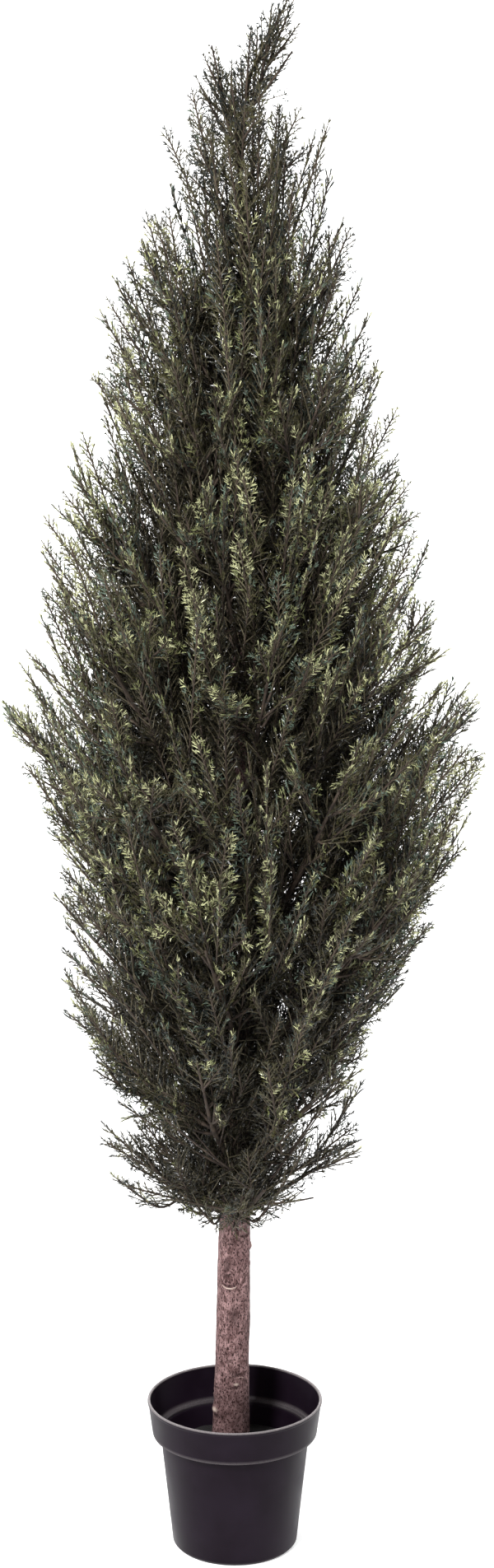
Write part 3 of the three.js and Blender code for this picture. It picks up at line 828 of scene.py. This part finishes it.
def fan_stalks(mass, draw):
    """The stalks of a mass's own fans: one down the middle of each, and side ones in its plane."""
    stalks = []
    for fan in mass["fans"]:
        longest = fan["length"] * FAN_REACH
        length = max(FAN_SHORTEST, room_along(fan["root"], fan["direction"], longest, FAN_DEPTH))
        line, run = stalk_line(fan["start"], fan["root"], fan["direction"], length, 0.07)
        stalks.append({"line": line, "side": fan["side"], "bare": run * FAN_BARE, "spray": FAN_SPRAY})
        normal = np.cross(fan["direction"], fan["side"])
        hand = 1 if draw(-1, 1) > 0 else -1
        for share in np.arange(SIDE_FROM, SIDE_TO, SIDE_SPACING / fan["length"]):
            lean = hand * draw(*SIDE_LEAN)
            aim = fan["direction"] * math.cos(lean) + fan["side"] * math.sin(lean)
            aim = unit(aim + normal * draw(-0.35, 0.35) + UP * draw(0, 0.2))
            root = fan["root"] + fan["direction"] * share * length
            reach = room_along(root, aim, fan["length"] * (0.66 - 0.45 * share), SIDE_DEPTH)
            line, _ = stalk_line(root, root, aim, reach, 0.1)
            if reach > SIDE_SHORTEST and not in_notch(line[-3:]).any():
                side = fan["side"] + normal * draw(-0.5, 0.5)
                stalks.append({"line": line, "side": side, "bare": 8, "spray": SIDE_SPRAY})
            hand = -hand
    return stalks


limb_shares = np.linspace(0.08, 1, 24)
limb_points = np.array([mass["limb"].point(share) for mass in masses for share in limb_shares])
limb_tangents = np.array([mass["limb"].tangent(share) for mass in masses for share in limb_shares])


def skin_point(draw, under):
    """A place a given depth under the skin, taken evenly over the crown's height and round it."""
    while True:
        height = draw(SKIN_FOOT, SKIN_TOP)
        wide = read_table(SKIN_HALF_WIDTH, height)
        if draw(0, 300) < wide + 36:
            bearing, radius = draw(0, 2 * math.pi), max(4, wide - under)
            middle = read_table(SKIN_DRIFT, height)
            return np.array([middle + radius * math.cos(bearing), radius * math.sin(bearing), height])


POLE_CLEARANCE, ROOT_DEPTH, PLUME_BARE = 8, 6, 0.3
# A twig that feeds a plume costs its length, and more where it turns off its limb or its plume by
# more than these cosines allow.
LIMB_COSINE, LIMB_COST, PLUME_COSINE, PLUME_COST = 0.64, 2.5, 0.4, 1.5


def add_plume(draw, tip, direction):
    """Feeds a plume that ends at a tip by a twig from the limb that lies best for it."""
    length = PLUME_LONGEST * draw(0.6, 1)
    while length > PLUME_SHORTEST:
        root = tip - direction * length
        clear = math.hypot(root[0] - pole_centre(root[2]), root[1]) - pole_radius(root[2])
        if clear > POLE_CLEARANCE and depth_under_skin(root) > ROOT_DEPTH:
            break
        length *= 0.85
    root = tip - direction * length
    offsets = root - limb_points
    runs = np.maximum(np.linalg.norm(offsets, axis=1), 1)
    with_limb = (offsets * limb_tangents).sum(axis=1) / runs
    with_plume = offsets @ direction / runs
    off_limb = LIMB_COST * np.maximum(0, LIMB_COSINE - with_limb)
    cost = runs * (1 + off_limb + PLUME_COST * np.maximum(0, PLUME_COSINE - with_plume))
    lift = draw(0.0, 0.1)
    side = branch_direction(direction, draw(0, math.pi), math.pi / 2)
    spray = draw(42, 60)
    for chosen in cost.argsort()[:LIMBS_TRIED]:
        line, run = stalk_line(limb_points[chosen], root, direction, length, lift)
        if depth_under_skin(line).min() > 0:
            stalk = {"line": line, "side": side, "bare": run * PLUME_BARE, "spray": spray}
            masses[chosen // len(limb_shares)]["stalks"].append(stalk)
            return


SECOND_SIDE = np.array([0.9, 0.4, 0.2])
TIP_SIDE_ROOTS = [0.0, 0.12, 0.24, 0.36, 0.5, 0.64]
TIP_SIDE_LEAN = 0.34
COLLAR_TWIGS, COLLAR_FROM, COLLAR_STEP = 26, 412, 6.5


def tip_with_sides(draw, root, end, side):
    """A tip of the crown: a straight stalk, and shorter ones that leave it on all its sides."""
    offset = end - root
    run = np.linalg.norm(offset)
    aim = offset / run
    line, _ = stalk_line(root, root, aim, run, 0.0)
    stalks = [{"line": line, "side": side, "bare": 6, "spray": 40}]
    roll = draw(0, math.pi)
    for share in TIP_SIDE_ROOTS:
        leaving = branch_direction(aim, roll, TIP_SIDE_LEAN)
        start = root + offset * share
        line, _ = stalk_line(start, start, leaving, run * (1 - share) * 0.62, 0.1)
        stalks.append({"line": line, "side": side, "bare": 5, "spray": 28})
        roll += math.pi - 0.9
    return stalks


def collar_twigs(draw):
    """Short twigs that stand close round the pole, where the lowest boughs leave it."""
    stalks = []
    for number in range(COLLAR_TWIGS):
        bearing = number * GOLDEN_ANGLE
        height = COLLAR_FROM + COLLAR_STEP * number
        outward = np.array([math.cos(bearing), math.sin(bearing), 0.0])
        start = np.array([pole_centre(height), 0.0, height]) + outward * pole_radius(height)
        aim = unit(outward * draw(0.22, 0.42) + UP)
        line, _ = stalk_line(start, start, aim, draw(75, 110), 0.0)
        stalks.append({"line": line, "side": np.cross(aim, outward), "bare": 4, "spray": 30})
    return stalks


tips = []
for mass in masses:
    draw = draws_from(mass["seed"] + 5003)
    mass["stalks"] = fan_stalks(mass, draw)
    if mass["space"]["is_leader"]:
        limb = mass["limb"]
        mass["stalks"] += tip_with_sides(draw, limb.point(0.42), SECOND_TIP, SECOND_SIDE)
        mass["stalks"] += tip_with_sides(draw, limb.point(0.7), LEADER_TIP - UP * 8, SECOND_SIDE)
    tips += [stalk["line"][-1] for stalk in mass["stalks"]]
draw = draws_from(TREE_SEED)
masses[0]["stalks"] += collar_twigs(draw)
for number in range(SKIN_PLUMES + INNER_PLUMES):
    in_skin = number < SKIN_PLUMES
    best, best_gap = None, -1
    for _ in range(CANDIDATES):
        if in_skin:
            under = draw(0, SCATTER) if draw(0, 1) < SCATTERED_SHARE else 0
        else:
            under = draw(INNER_FROM, INNER_TO)
        tip = skin_point(draw, under + END_SPRAY)
        if in_notch(tip):
            continue
        gap = np.linalg.norm(np.array(tips) - tip, axis=1).min()
        if gap > best_gap:
            best, best_gap = tip, gap
    if best is not None:
        tips.append(best)
        add_plume(draw, best, plume_direction(best, draw))


class MeshHeap:
    """Vertices and triangles gathered from many small parts, for one joined mesh."""

    def __init__(self):
        self.points, self.faces, self.count = [], [], 0

    def add(self, points, faces):
        self.points.append(points)
        self.faces.append(faces + self.count)
        self.count += len(points)

    def make(self, name):
        """Makes the mesh object, with sizes turned from millimetres to metres."""
        points = np.concatenate(self.points) * MM
        faces = np.concatenate(self.faces)
        mesh = bpy.data.meshes.new(name)
        mesh.vertices.add(len(points))
        mesh.vertices.foreach_set("co", points.astype(np.float32).ravel())
        mesh.loops.add(faces.size)
        mesh.loops.foreach_set("vertex_index", faces.astype(np.int32).ravel())
        mesh.polygons.add(len(faces))
        mesh.polygons.foreach_set("loop_start", np.arange(0, faces.size, 3, dtype=np.int32))
        mesh.update(calc_edges=True)
        mesh.validate()
        piece = bpy.data.objects.new(name, mesh)
        bpy.context.scene.collection.objects.link(piece)
        return piece


def tube(line, radii, sides):
    """A closed tapering tube along a list of points."""
    line = np.asarray(line, dtype=float)
    legs = np.gradient(line, axis=0)
    rings = []
    for point, leg, radius in zip(line, legs, radii):
        along = unit(leg)
        side = sideways(along)
        front = np.cross(along, side)
        turns = np.arange(sides) * 2 * math.pi / sides
        rings.append(point + radius * (np.outer(np.cos(turns), side) + np.outer(np.sin(turns), front)))
    points = np.concatenate(rings + [line[:1], line[-1:]])
    faces = []
    for ring in range(len(line) - 1):
        for k in range(sides):
            a, b = ring * sides + k, ring * sides + (k + 1) % sides
            faces += [(a, b, a + sides), (b, b + sides, a + sides)]
    foot, tip, last = len(points) - 2, len(points) - 1, (len(line) - 1) * sides
    for k in range(sides):
        faces.append((foot, (k + 1) % sides, k))
        faces.append((tip, last + k, last + (k + 1) % sides))
    return points, np.array(faces)


boughs = MeshHeap()
BOUGH_ROOT, BOUGH_TIP = 5.6, 1.5
STALK_ROOT, STALK_TIP = 1.9, 0.9
BOUGH_SIDES, STALK_SIDES = 8, 4
TAPE_RIDGE = 0.35
shares = np.linspace(0, 1, 41)
for mass in masses:
    draw = draws_from(mass["seed"] + 7001)
    line = np.array([mass["limb"].point(share) for share in shares])
    radii = BOUGH_ROOT + (BOUGH_TIP - BOUGH_ROOT) * shares**0.7
    ridges = TAPE_RIDGE * np.array([draw(-1, 1) for _ in shares]) * (1 - 0.7 * shares)
    boughs.add(*tube(line, radii + ridges, BOUGH_SIDES))
    for stalk in mass["stalks"]:
        radii = np.linspace(STALK_ROOT, STALK_TIP, len(stalk["line"]))
        boughs.add(*tube(stalk["line"], radii, STALK_SIDES))

# Paper tape round wire: dark brown, matt, with a soft uneven tone along it.
tape, tree, shader = new_material("brown_paper_tape")
shader.inputs["Roughness"].default_value = 0.85
TAPE_WIDTH = 0.010
windings = noise_over(tree, object_place(tree), TAPE_WIDTH, 4.0)
tree.links.new(tone_ramp(tree, windings, (0.35, 0x2A201B), (0.68, 0x4E4135)), shader.inputs["Base Color"])
mass_nodes = [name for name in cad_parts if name.startswith("foliage")]
bough_nodes = [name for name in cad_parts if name.startswith("bough")]
finish_piece(
    boughs.make("boughs"), "boughs_and_twigs", tape, "bough_bark", *bough_nodes, *mass_nodes
)


# ------------------------------------------------------------ sprays of needles
# Flat ferny sprays, moulded in soft polyethylene a few at a time and pushed on to the twigs: a
# thin stem with side twiglets, all set with short scale-like needles. A handful of moulds is used
# over and over, so a handful of patterns is drawn here and copied.
NEEDLE_LENGTH, NEEDLE_WIDTH = 5.6, 1.4
TWIGLET_WIDTH = 1.5
NEEDLE_SPACING, TWIGLET_SPACING = 2.9, 6.0
SHORTEST_TWIGLET = 8.5  # where a twiglet would be shorter, a needle grows in its place
PATTERN_LENGTHS = [16, 25, 36, 48]
PATTERNS_PER_LENGTH = 5
TIP_SHARE = 0.62  # needles past this share of a spray's growth take the tip colour
PAINTED_GLINT_SHARE = 0.12  # and so does this share of the others, as painted glints
AXIS = -1.0  # the place that marks a twiglet's own blade
TWIGLET_LEAN, NEEDLE_LEAN = (0.66, 0.84), (0.6, 0.8)  # angles off the stem and off a twiglet
FIRST_ON_STEM, END_CLEARANCE = 0.1, 5
END_LEANS, END_NEEDLE, END_SET_BACK = (-0.5, 0.0, 0.45), 7, 7
STEM_SET_BACK = 4


def needle(root, direction, length, roll, width=NEEDLE_WIDTH):
    """One needle: a narrow blade of two faces, blunt at its tip and folded corner to corner."""
    side = branch_direction(direction, roll, math.pi / 2)
    keel = np.cross(direction, side) * 0.3 * width
    tip = root + direction * length
    foot_half, tip_half = width / 2, width * 0.3
    return np.array([root - side * foot_half, root + side * foot_half - keel, tip + side * tip_half, tip])


def stem_prism(start, end, root_radius, tip_radius):
    """A three-sided stem, open at its ends, which needles cover."""
    along = unit(end - start)
    side = sideways(along)
    front = np.cross(along, side)
    turns = np.array([0, 2.0944, 4.18879])  # thirds of a turn
    ring = np.outer(np.cos(turns), side) + np.outer(np.sin(turns), front)
    points = np.vstack([start + root_radius * ring, end + tip_radius * ring])
    faces = [(k, (k + 1) % 3, k + 3) for k in range(3)]
    faces += [((k + 1) % 3, (k + 1) % 3 + 3, k + 3) for k in range(3)]
    return points, np.array(faces)


def spray_pattern(length, seed):
    """A spray along +X, lying in the XY plane: its stem, its needles and their place in it."""
    draw = draws_from(seed)
    needles, places = [], []
    along, across = np.array([1.0, 0.0, 0.0]), np.array([0.0, 1.0, 0.0])
    hand = 1 if draw(-1, 1) > 0 else -1
    position = FIRST_ON_STEM * length
    while position < length - END_CLEARANCE:
        share = position / length
        run = length * (0.12 + 0.19 * math.sin(math.pi * (0.2 + 0.75 * share))) * draw(0.8, 1.2)
        lean = hand * draw(*TWIGLET_LEAN)
        direction = unit(along * math.cos(lean) + across * math.sin(lean) + UP * draw(-0.25, 0.25))
        start = along * position
        hand = -hand
        if run < SHORTEST_TWIGLET:
            needles.append(needle(start, direction, NEEDLE_LENGTH * draw(0.85, 1.1), draw(0, math.pi)))
            places.append(0.5 * share + 0.45)
            position += NEEDLE_SPACING * draw(0.75, 1.0)
            continue
        needles.append(needle(start, direction, run - 2, draw(0, math.pi), TWIGLET_WIDTH))
        places.append(AXIS)
        outer = unit(np.cross(UP, direction))
        on_twiglet, side_hand = NEEDLE_SPACING * 0.6, -hand
        while on_twiglet < run - 2:
            fork = side_hand * draw(*NEEDLE_LEAN)
            aim = unit(direction * math.cos(fork) + outer * math.sin(fork) + UP * draw(-0.3, 0.3))
            size = NEEDLE_LENGTH * draw(0.8, 1.05) * (1 - 0.2 * on_twiglet / run)
            needles.append(needle(start + direction * on_twiglet, aim, size, draw(0, math.pi)))
            places.append(0.5 * share + 0.25 + 0.25 * on_twiglet / run)
            on_twiglet += NEEDLE_SPACING * draw(0.85, 1.15)
            side_hand = -side_hand
        end = start + direction * (run - 4)
        needles.append(needle(end, direction, NEEDLE_LENGTH * 0.9, draw(0, math.pi)))
        places.append(0.5 * share + 0.45)
        position += TWIGLET_SPACING * draw(0.8, 1.2)
    # A share of the other needles take the tip colour at random, as painted glints.
    for k, place in enumerate(places):
        if place != AXIS:
            places[k] = 1.0 if draw(0, 1) < PAINTED_GLINT_SHARE else place + draw(-0.15, 0.15)
    for lean in END_LEANS:
        direction = unit(along * math.cos(lean) + across * math.sin(lean) + UP * draw(-0.2, 0.2))
        size = END_NEEDLE - 3 * abs(lean)
        needles.append(needle(along * (length - END_SET_BACK), direction, size, draw(0, math.pi)))
        places.append(1.0)
    wood = stem_prism(np.zeros(3), along * (length - STEM_SET_BACK), 0.6 + 0.01 * length, 0.5)
    return {"length": length, "wood": wood}, np.array(needles), np.array(places)


PATTERN_SEED = 900
QUAD = np.array([(0, 1, 2), (0, 2, 3)])
patterns = []
for i, length in enumerate(PATTERN_LENGTHS):
    for k in range(PATTERNS_PER_LENGTH):
        pattern, needles, places = spray_pattern(length, PATTERN_SEED + 31 * i + 7 * k)
        is_axis = places == AXIS
        # The tip colour goes to the yellowed tip needles and to the painted glints.
        tip_and_glint_needles = places > TIP_SHARE
        for part, chosen in (("body", ~tip_and_glint_needles & ~is_axis), ("twiglets", is_axis), ("tips", tip_and_glint_needles)):
            corners = needles[chosen].reshape(-1, 3)
            faces = (np.arange(chosen.sum())[:, None, None] * 4 + QUAD).reshape(-1, 3)
            pattern[part] = (corners, faces)
        patterns.append(pattern)

# Where the sprays go: to the two hands of every stalk in turn, shorter towards its tip, which one
# more spray ends. A shoot is (root, direction, flat side, longest, place on its plume, plume).
SPACING_BASE, SPACING_SHARE = 1.6, 0.16  # sprays stand the closer, the shorter they are
SHOOT_LEAN = (0.46, 0.72)
TAPER = 0.78
shoots = []
plume_number = 0
for mass in masses:
    draw = draws_from(mass["seed"] + 9001)
    for stalk in mass["stalks"]:
        line = stalk["line"]
        legs = np.linalg.norm(np.diff(line, axis=0), axis=1)
        marks = np.concatenate([[0], np.cumsum(legs)])
        run = marks[-1]
        hand = 1 if draw(-1, 1) > 0 else -1
        position = stalk["bare"]
        while position < run:
            root = np.array([np.interp(position, marks, line[:, axis]) for axis in range(3)])
            leg = min(int(np.searchsorted(marks, position, side="right")) - 1, len(legs) - 1)
            along = (line[leg + 1] - line[leg]) / legs[leg]
            side = unit(stalk["side"] - along * (stalk["side"] @ along))
            normal = np.cross(along, side)
            on_plume = position / run
            lean = hand * draw(*SHOOT_LEAN)
            aim = along * math.cos(lean) + side * math.sin(lean)
            aim = unit(aim + normal * draw(-0.35, 0.35) + UP * draw(0, 0.25))
            flat = side + normal * draw(-0.5, 0.5)
            longest = stalk["spray"] * (1.08 - TAPER * on_plume) * draw(0.8, 1.1)
            shoots.append((root, aim, flat, longest, on_plume, plume_number))
            position += SPACING_BASE + SPACING_SHARE * longest
            hand = -hand
        end_leg = unit(line[-1] - line[-2])
        shoots.append((line[-1], end_leg, side, PATTERN_LENGTHS[0], 1.0, plume_number))
        plume_number += 1

roots, aims, sides, lengths, on_plumes, plumes = (np.array(values) for values in zip(*shoots))

# Each shoot is cut back towards the crown's skin, and those rooted beyond it or in a notch are
# dropped.
CUTS, CUT_TO, PAST_SKIN = 10, 0.92, 5
for _ in range(CUTS):
    tips = roots + aims * lengths[:, None]
    too_long = (depth_under_skin(tips) < -PAST_SKIN) & (lengths > PATTERN_LENGTHS[0])
    lengths = np.where(too_long, lengths * CUT_TO, lengths)
kept = (depth_under_skin(roots) > -PAST_SKIN - 1) & ~in_notch(roots)
roots, aims, sides, lengths = roots[kept], aims[kept], sides[kept], lengths[kept]
on_plumes, plumes = on_plumes[kept], plumes[kept]
normals = np.cross(aims, sides)
normals /= np.linalg.norm(normals, axis=1, keepdims=True)
sides = np.cross(normals, aims)
depths = depth_under_skin(roots + aims * lengths[:, None])

# Colours of the moulded plastic, with painted light and shade: sprays deep in the crown are painted
# darkest as painted shade, and those at its skin run from blue-green to olive, many of them with
# yellowed tips.
TINTS = {
    "deep_green": 0x18140B,
    "bottle_green": 0x252416,
    "blue_green": 0x232A27,
    "grey_green": 0x5B6B5D,
    "olive": 0x4A482D,
    "pale_olive": 0x80855A,
    "yellow_olive": 0xBFC193,
}
DRESSES = {
    "shaded": {"body": "deep_green", "twiglets": "deep_green", "tips": "bottle_green"},
    "dark": {"body": "deep_green", "twiglets": "bottle_green", "tips": "blue_green"},
    "plain": {"body": "bottle_green", "twiglets": "bottle_green", "tips": "olive"},
    "bluish": {"body": "blue_green", "twiglets": "blue_green", "tips": "grey_green"},
    "green": {"body": "bottle_green", "twiglets": "olive", "tips": "pale_olive"},
    # The lit dress is painted light: a paler, yellower copy of the olive plastic.
    "lit": {"body": "olive", "twiglets": "pale_olive", "tips": "yellow_olive"},
}
# The share of the sprays painted dark, as painted shade, against height: low down, where the crown
# shades itself, and at its top. Low down the painted shade also reaches nearer to the skin.
PAINTED_SHADE_SHARE = [(480, 0.9), (640, 0.72), (900, 0.14), (1250, 0.06), (1450, 0.5), (1600, 0.92), (1800, 0.97)]
SHADED_FROM = [(480, 30), (640, 45), (900, 84), (1800, 84)]
# What a spray's mood makes of it: the mood's upper end, the dress at a plume's tip, and elsewhere.
# The lit dress is painted light, a paler and yellower copy given to plume tips near the skin.
MOODS = [
    (0.26, "lit", "plain"),
    (0.45, "plain", "green"),
    (0.68, "bluish", "bluish"),
    (0.85, "green", "green"),
]
MOOD_SWAY, PLAIN_BELOW = 0.3, 0.4
TIP_FROM, TIP_WITHIN, LIT_WITHIN = 0.55, 60, 45


def choose_dress(mood, depth, height, on_plume, in_painted_shade):
    """The dress of one spray, by its depth under the skin, its place on its plume and its mood."""
    # Deep sprays, and those dealt the dark share for their height, get the painted shade of the shaded
    # and dark dresses.
    if depth > read_table(SHADED_FROM, height):
        return "shaded"
    if in_painted_shade:
        return "plain" if mood < PLAIN_BELOW else "dark"
    for upper_end, tip_dress, dress in MOODS:
        if mood < upper_end:
            return tip_dress if on_plume > TIP_FROM and depth < TIP_WITHIN else dress
    return "lit" if depth < LIT_WITHIN else "plain"


dress_draw = draws_from(4242)
plume_moods = [dress_draw(0, 1) for _ in range(plume_number)]
dresses = []
for depth, height, on_plume, plume in zip(depths, roots[:, 2], on_plumes, plumes):
    mood = plume_moods[plume] + dress_draw(-MOOD_SWAY, MOOD_SWAY)
    in_painted_shade = dress_draw(0, 1) < read_table(PAINTED_SHADE_SHARE, height)
    dresses.append(choose_dress(mood, depth, height, on_plume, in_painted_shade))
dresses = np.array(dresses)

heaps = {tint: MeshHeap() for tint in TINTS}
stem_heap = MeshHeap()
pattern_draw = draws_from(777)
choice = np.array([int(pattern_draw(0, PATTERNS_PER_LENGTH)) for _ in lengths])
lifts = np.array([pattern_draw(0.02, 0.12) for _ in lengths])
classes = np.abs(lengths[:, None] - np.array(PATTERN_LENGTHS)[None]).argmin(axis=1)


def copies(part, chosen, pattern):
    """Copies of one part of a pattern at every chosen shoot, curving upwards towards its tip."""
    points, faces = part
    size = lengths[chosen] / pattern["length"]
    axes = np.stack([aims[chosen], sides[chosen], normals[chosen]], axis=1)
    placed = np.einsum("pi,nij->npj", points, axes) * size[:, None, None] + roots[chosen][:, None]
    rise = lifts[chosen][:, None] * points[None, :, 0] ** 2 / pattern["length"] * size[:, None]
    placed[..., 2] += rise
    offsets = np.arange(len(size))[:, None, None] * len(points)
    return placed.reshape(-1, 3), (faces[None] + offsets).reshape(-1, 3)


for number, pattern in enumerate(patterns):
    same_pattern = classes * PATTERNS_PER_LENGTH + choice == number
    if same_pattern.any():
        stem_heap.add(*copies(pattern["wood"], same_pattern, pattern))
    for dress, tints in DRESSES.items():
        chosen = same_pattern & (dresses == dress)
        if chosen.any():
            for part, tint in tints.items():
                heaps[tint].add(*copies(pattern[part], chosen, pattern))

MOST_FACES = 190000


def make_in_batches(heap, name, material, slot):
    """Makes a heap into as many pieces as keep each one under the limit."""
    points, faces = np.concatenate(heap.points), np.concatenate(heap.faces)
    batches = math.ceil(len(faces) / MOST_FACES)
    for batch, part in enumerate(np.array_split(faces, batches)):
        used, numbered = np.unique(part, return_inverse=True)
        piece_heap = MeshHeap()
        piece_heap.add(points[used], numbered.reshape(-1, 3))
        label = f"{name}_{batch + 1}"
        finish_piece(piece_heap.make(label), label, material, slot, *mass_nodes)


# Soft polyethylene, moulded: a plain colour that goes right through it, under a waxy sheen that
# is glossier here and duller there.
WAXY_PATCH = 0.012
for tint, code in TINTS.items():
    plastic, tree, shader = new_material(f"polyethylene_{tint}")
    shader.inputs["Base Color"].default_value = linear(code)
    waxy = noise_over(tree, object_place(tree), WAXY_PATCH, 2.0)
    tree.links.new(remap(tree, waxy, 0.3, 0.7, 0.24, 0.46), shader.inputs["Roughness"])
    shader.inputs["IOR"].default_value = 1.5
    shader.inputs["Specular IOR Level"].default_value = 0.5
    make_in_batches(heaps[tint], f"needles_{tint}", plastic, "foliage")
stem_plastic, tree, shader = new_material("polyethylene_stems")
shader.inputs["Base Color"].default_value = linear(0x5A5340)
shader.inputs["Roughness"].default_value = 0.6
make_in_batches(stem_heap, "spray_stems", stem_plastic, "foliage")


# ------------------------------------------------------------ studio
# A seamless white sweep in a pale room, and soft light on the tree: a box high in front to the
# left, a wide spot in front, a low box at each side that edges the pot and pole with light, and
# a narrow spot from behind each shoulder for the ledge inside the pot.
bpy.ops.object.select_all(action="DESELECT")
SWEEP_SIDE, SWEEP_MIDDLE, SWEEP_HEIGHT, SWEEP_BEND = 14, -1, 7, 2.0
bpy.ops.mesh.primitive_plane_add(size=SWEEP_SIDE, location=(0, SWEEP_MIDDLE, 0))
sweep = bpy.context.object
bpy.ops.object.transform_apply(location=True)
deselect_mesh("EDGE")
for edge in sweep.data.edges:
    edge.select = all(sweep.data.vertices[v].co.y > SWEEP_MIDDLE for v in edge.vertices)
bpy.ops.object.mode_set(mode="EDIT")
bpy.ops.mesh.extrude_region_move(TRANSFORM_OT_translate={"value": (0, 0, SWEEP_HEIGHT)})
bpy.ops.mesh.select_all(action="DESELECT")
bpy.ops.object.mode_set(mode="OBJECT")
bend = sweep.modifiers.new("bend", "BEVEL")
bend.width = SWEEP_BEND
bend.segments = 16
bpy.ops.object.modifier_apply(modifier=bend.name)
bpy.ops.object.shade_smooth()
sweep.name = "studio_sweep"
paper, tree, shader = new_material("white_background_paper")
shader.inputs["Base Color"].default_value = (0.92, 0.92, 0.92, 1)
shader.inputs["Emission Color"].default_value = (1, 1, 1, 1)
shader.inputs["Emission Strength"].default_value = 0.53
shader.inputs["Roughness"].default_value = 0.9
# The paper is seen from its lit side only, so that it hides nothing of the tree's back.
see_through = add_node(tree, "ShaderNodeBsdfTransparent")
behind = add_node(tree, "ShaderNodeNewGeometry").outputs["Backfacing"]
one_sided = add_node(tree, "ShaderNodeMixShader", links={"Fac": behind})
tree.links.new(shader.outputs["BSDF"], one_sided.inputs[1])
tree.links.new(see_through.outputs["BSDF"], one_sided.inputs[2])
tree.links.new(one_sided.outputs["Shader"], tree.nodes["Material Output"].inputs["Surface"])
sweep.data.materials.append(paper)

# Only the camera sees the room, so it lights nothing.
bpy.ops.object.select_all(action="DESELECT")
ROOM_RADIUS = 45
bpy.ops.mesh.primitive_uv_sphere_add(segments=48, ring_count=24, radius=ROOM_RADIUS)
room = bpy.context.object
room.name = "pale_room"
room.visible_diffuse = False
room.visible_glossy = False
room.visible_transmission = False
room.visible_shadow = False
paint, tree, shader = new_material("pale_room_paint")
shader.inputs["Base Color"].default_value = (0, 0, 0, 1)
shader.inputs["Specular IOR Level"].default_value = 0
shader.inputs["Emission Color"].default_value = (1, 1, 1, 1)
shader.inputs["Emission Strength"].default_value = 0.72
room.data.materials.append(paint)


def hang_lamp(lamp, place, aim, power):
    """Puts a lamp at a place, turned to an aim point."""
    lamp.energy = power
    hung = bpy.data.objects.new(lamp.name, lamp)
    hung.location = place
    hung.rotation_euler = (Vector(aim) - Vector(place)).to_track_quat("-Z", "Y").to_euler()
    hung.visible_camera = False
    bpy.context.scene.collection.objects.link(hung)


def soft_box(name, place, aim, width, height, power):
    lamp = bpy.data.lights.new(name, "AREA")
    lamp.shape = "RECTANGLE"
    lamp.size, lamp.size_y = width, height
    hang_lamp(lamp, place, aim, power)


def spot(name, place, aim, spread, radius, power):
    lamp = bpy.data.lights.new(name, "SPOT")
    lamp.spot_size = math.radians(spread)
    lamp.spot_blend = 0.6
    lamp.shadow_soft_size = radius
    hang_lamp(lamp, place, aim, power)


soft_box("overhead_front", (-1.3, -2.9, 3.2), (0, 0, 0.9), 0.7, 0.6, 190)
soft_box("left_side", (-1.3, 0.4, 0.3), (0, 0, 0.2), 0.5, 0.6, 6)
soft_box("right_side", (1.3, 0.4, 0.3), (0, 0, 0.2), 0.5, 0.6, 6)
soft_box("behind_left", (-1.8, 3.2, 3.2), (0, 5.5, 0.8), 2.0, 2.0, 90)
soft_box("behind_right", (1.8, 3.2, 3.2), (0, 5.5, 0.8), 2.0, 2.0, 90)
spot("ledge_left", (-0.77, 0.53, 1.43), (0, 0.03, 0.12), 9, 0.2, 60)
spot("ledge_right", (0.77, 0.53, 1.43), (0, 0.03, 0.12), 9, 0.2, 60)
spot("front_fill", (0.5, -3.7, 2.0), (0, 0, 0.95), 27, 0.3, 64)

world = bpy.data.worlds.new("studio_air")
bpy.context.scene.world = world
world.use_nodes = True
world.node_tree.nodes["Background"].inputs["Color"].default_value = (1, 1, 1, 1)
world.node_tree.nodes["Background"].inputs["Strength"].default_value = 0.12
bpy.context.scene.view_settings.view_transform = "Standard"

lens = bpy.data.cameras.new("camera")
lens.sensor_width = 36
lens.lens = 72.92
lens.clip_end = 150
camera = bpy.data.objects.new("camera", lens)
LOOKING_DOWN = 12.56
camera.location = (0.01456, -3.536, 1.719)
camera.rotation_euler = (math.radians(90 - LOOKING_DOWN), 0, 0)
bpy.context.scene.collection.objects.link(camera)
bpy.context.scene.camera = camera
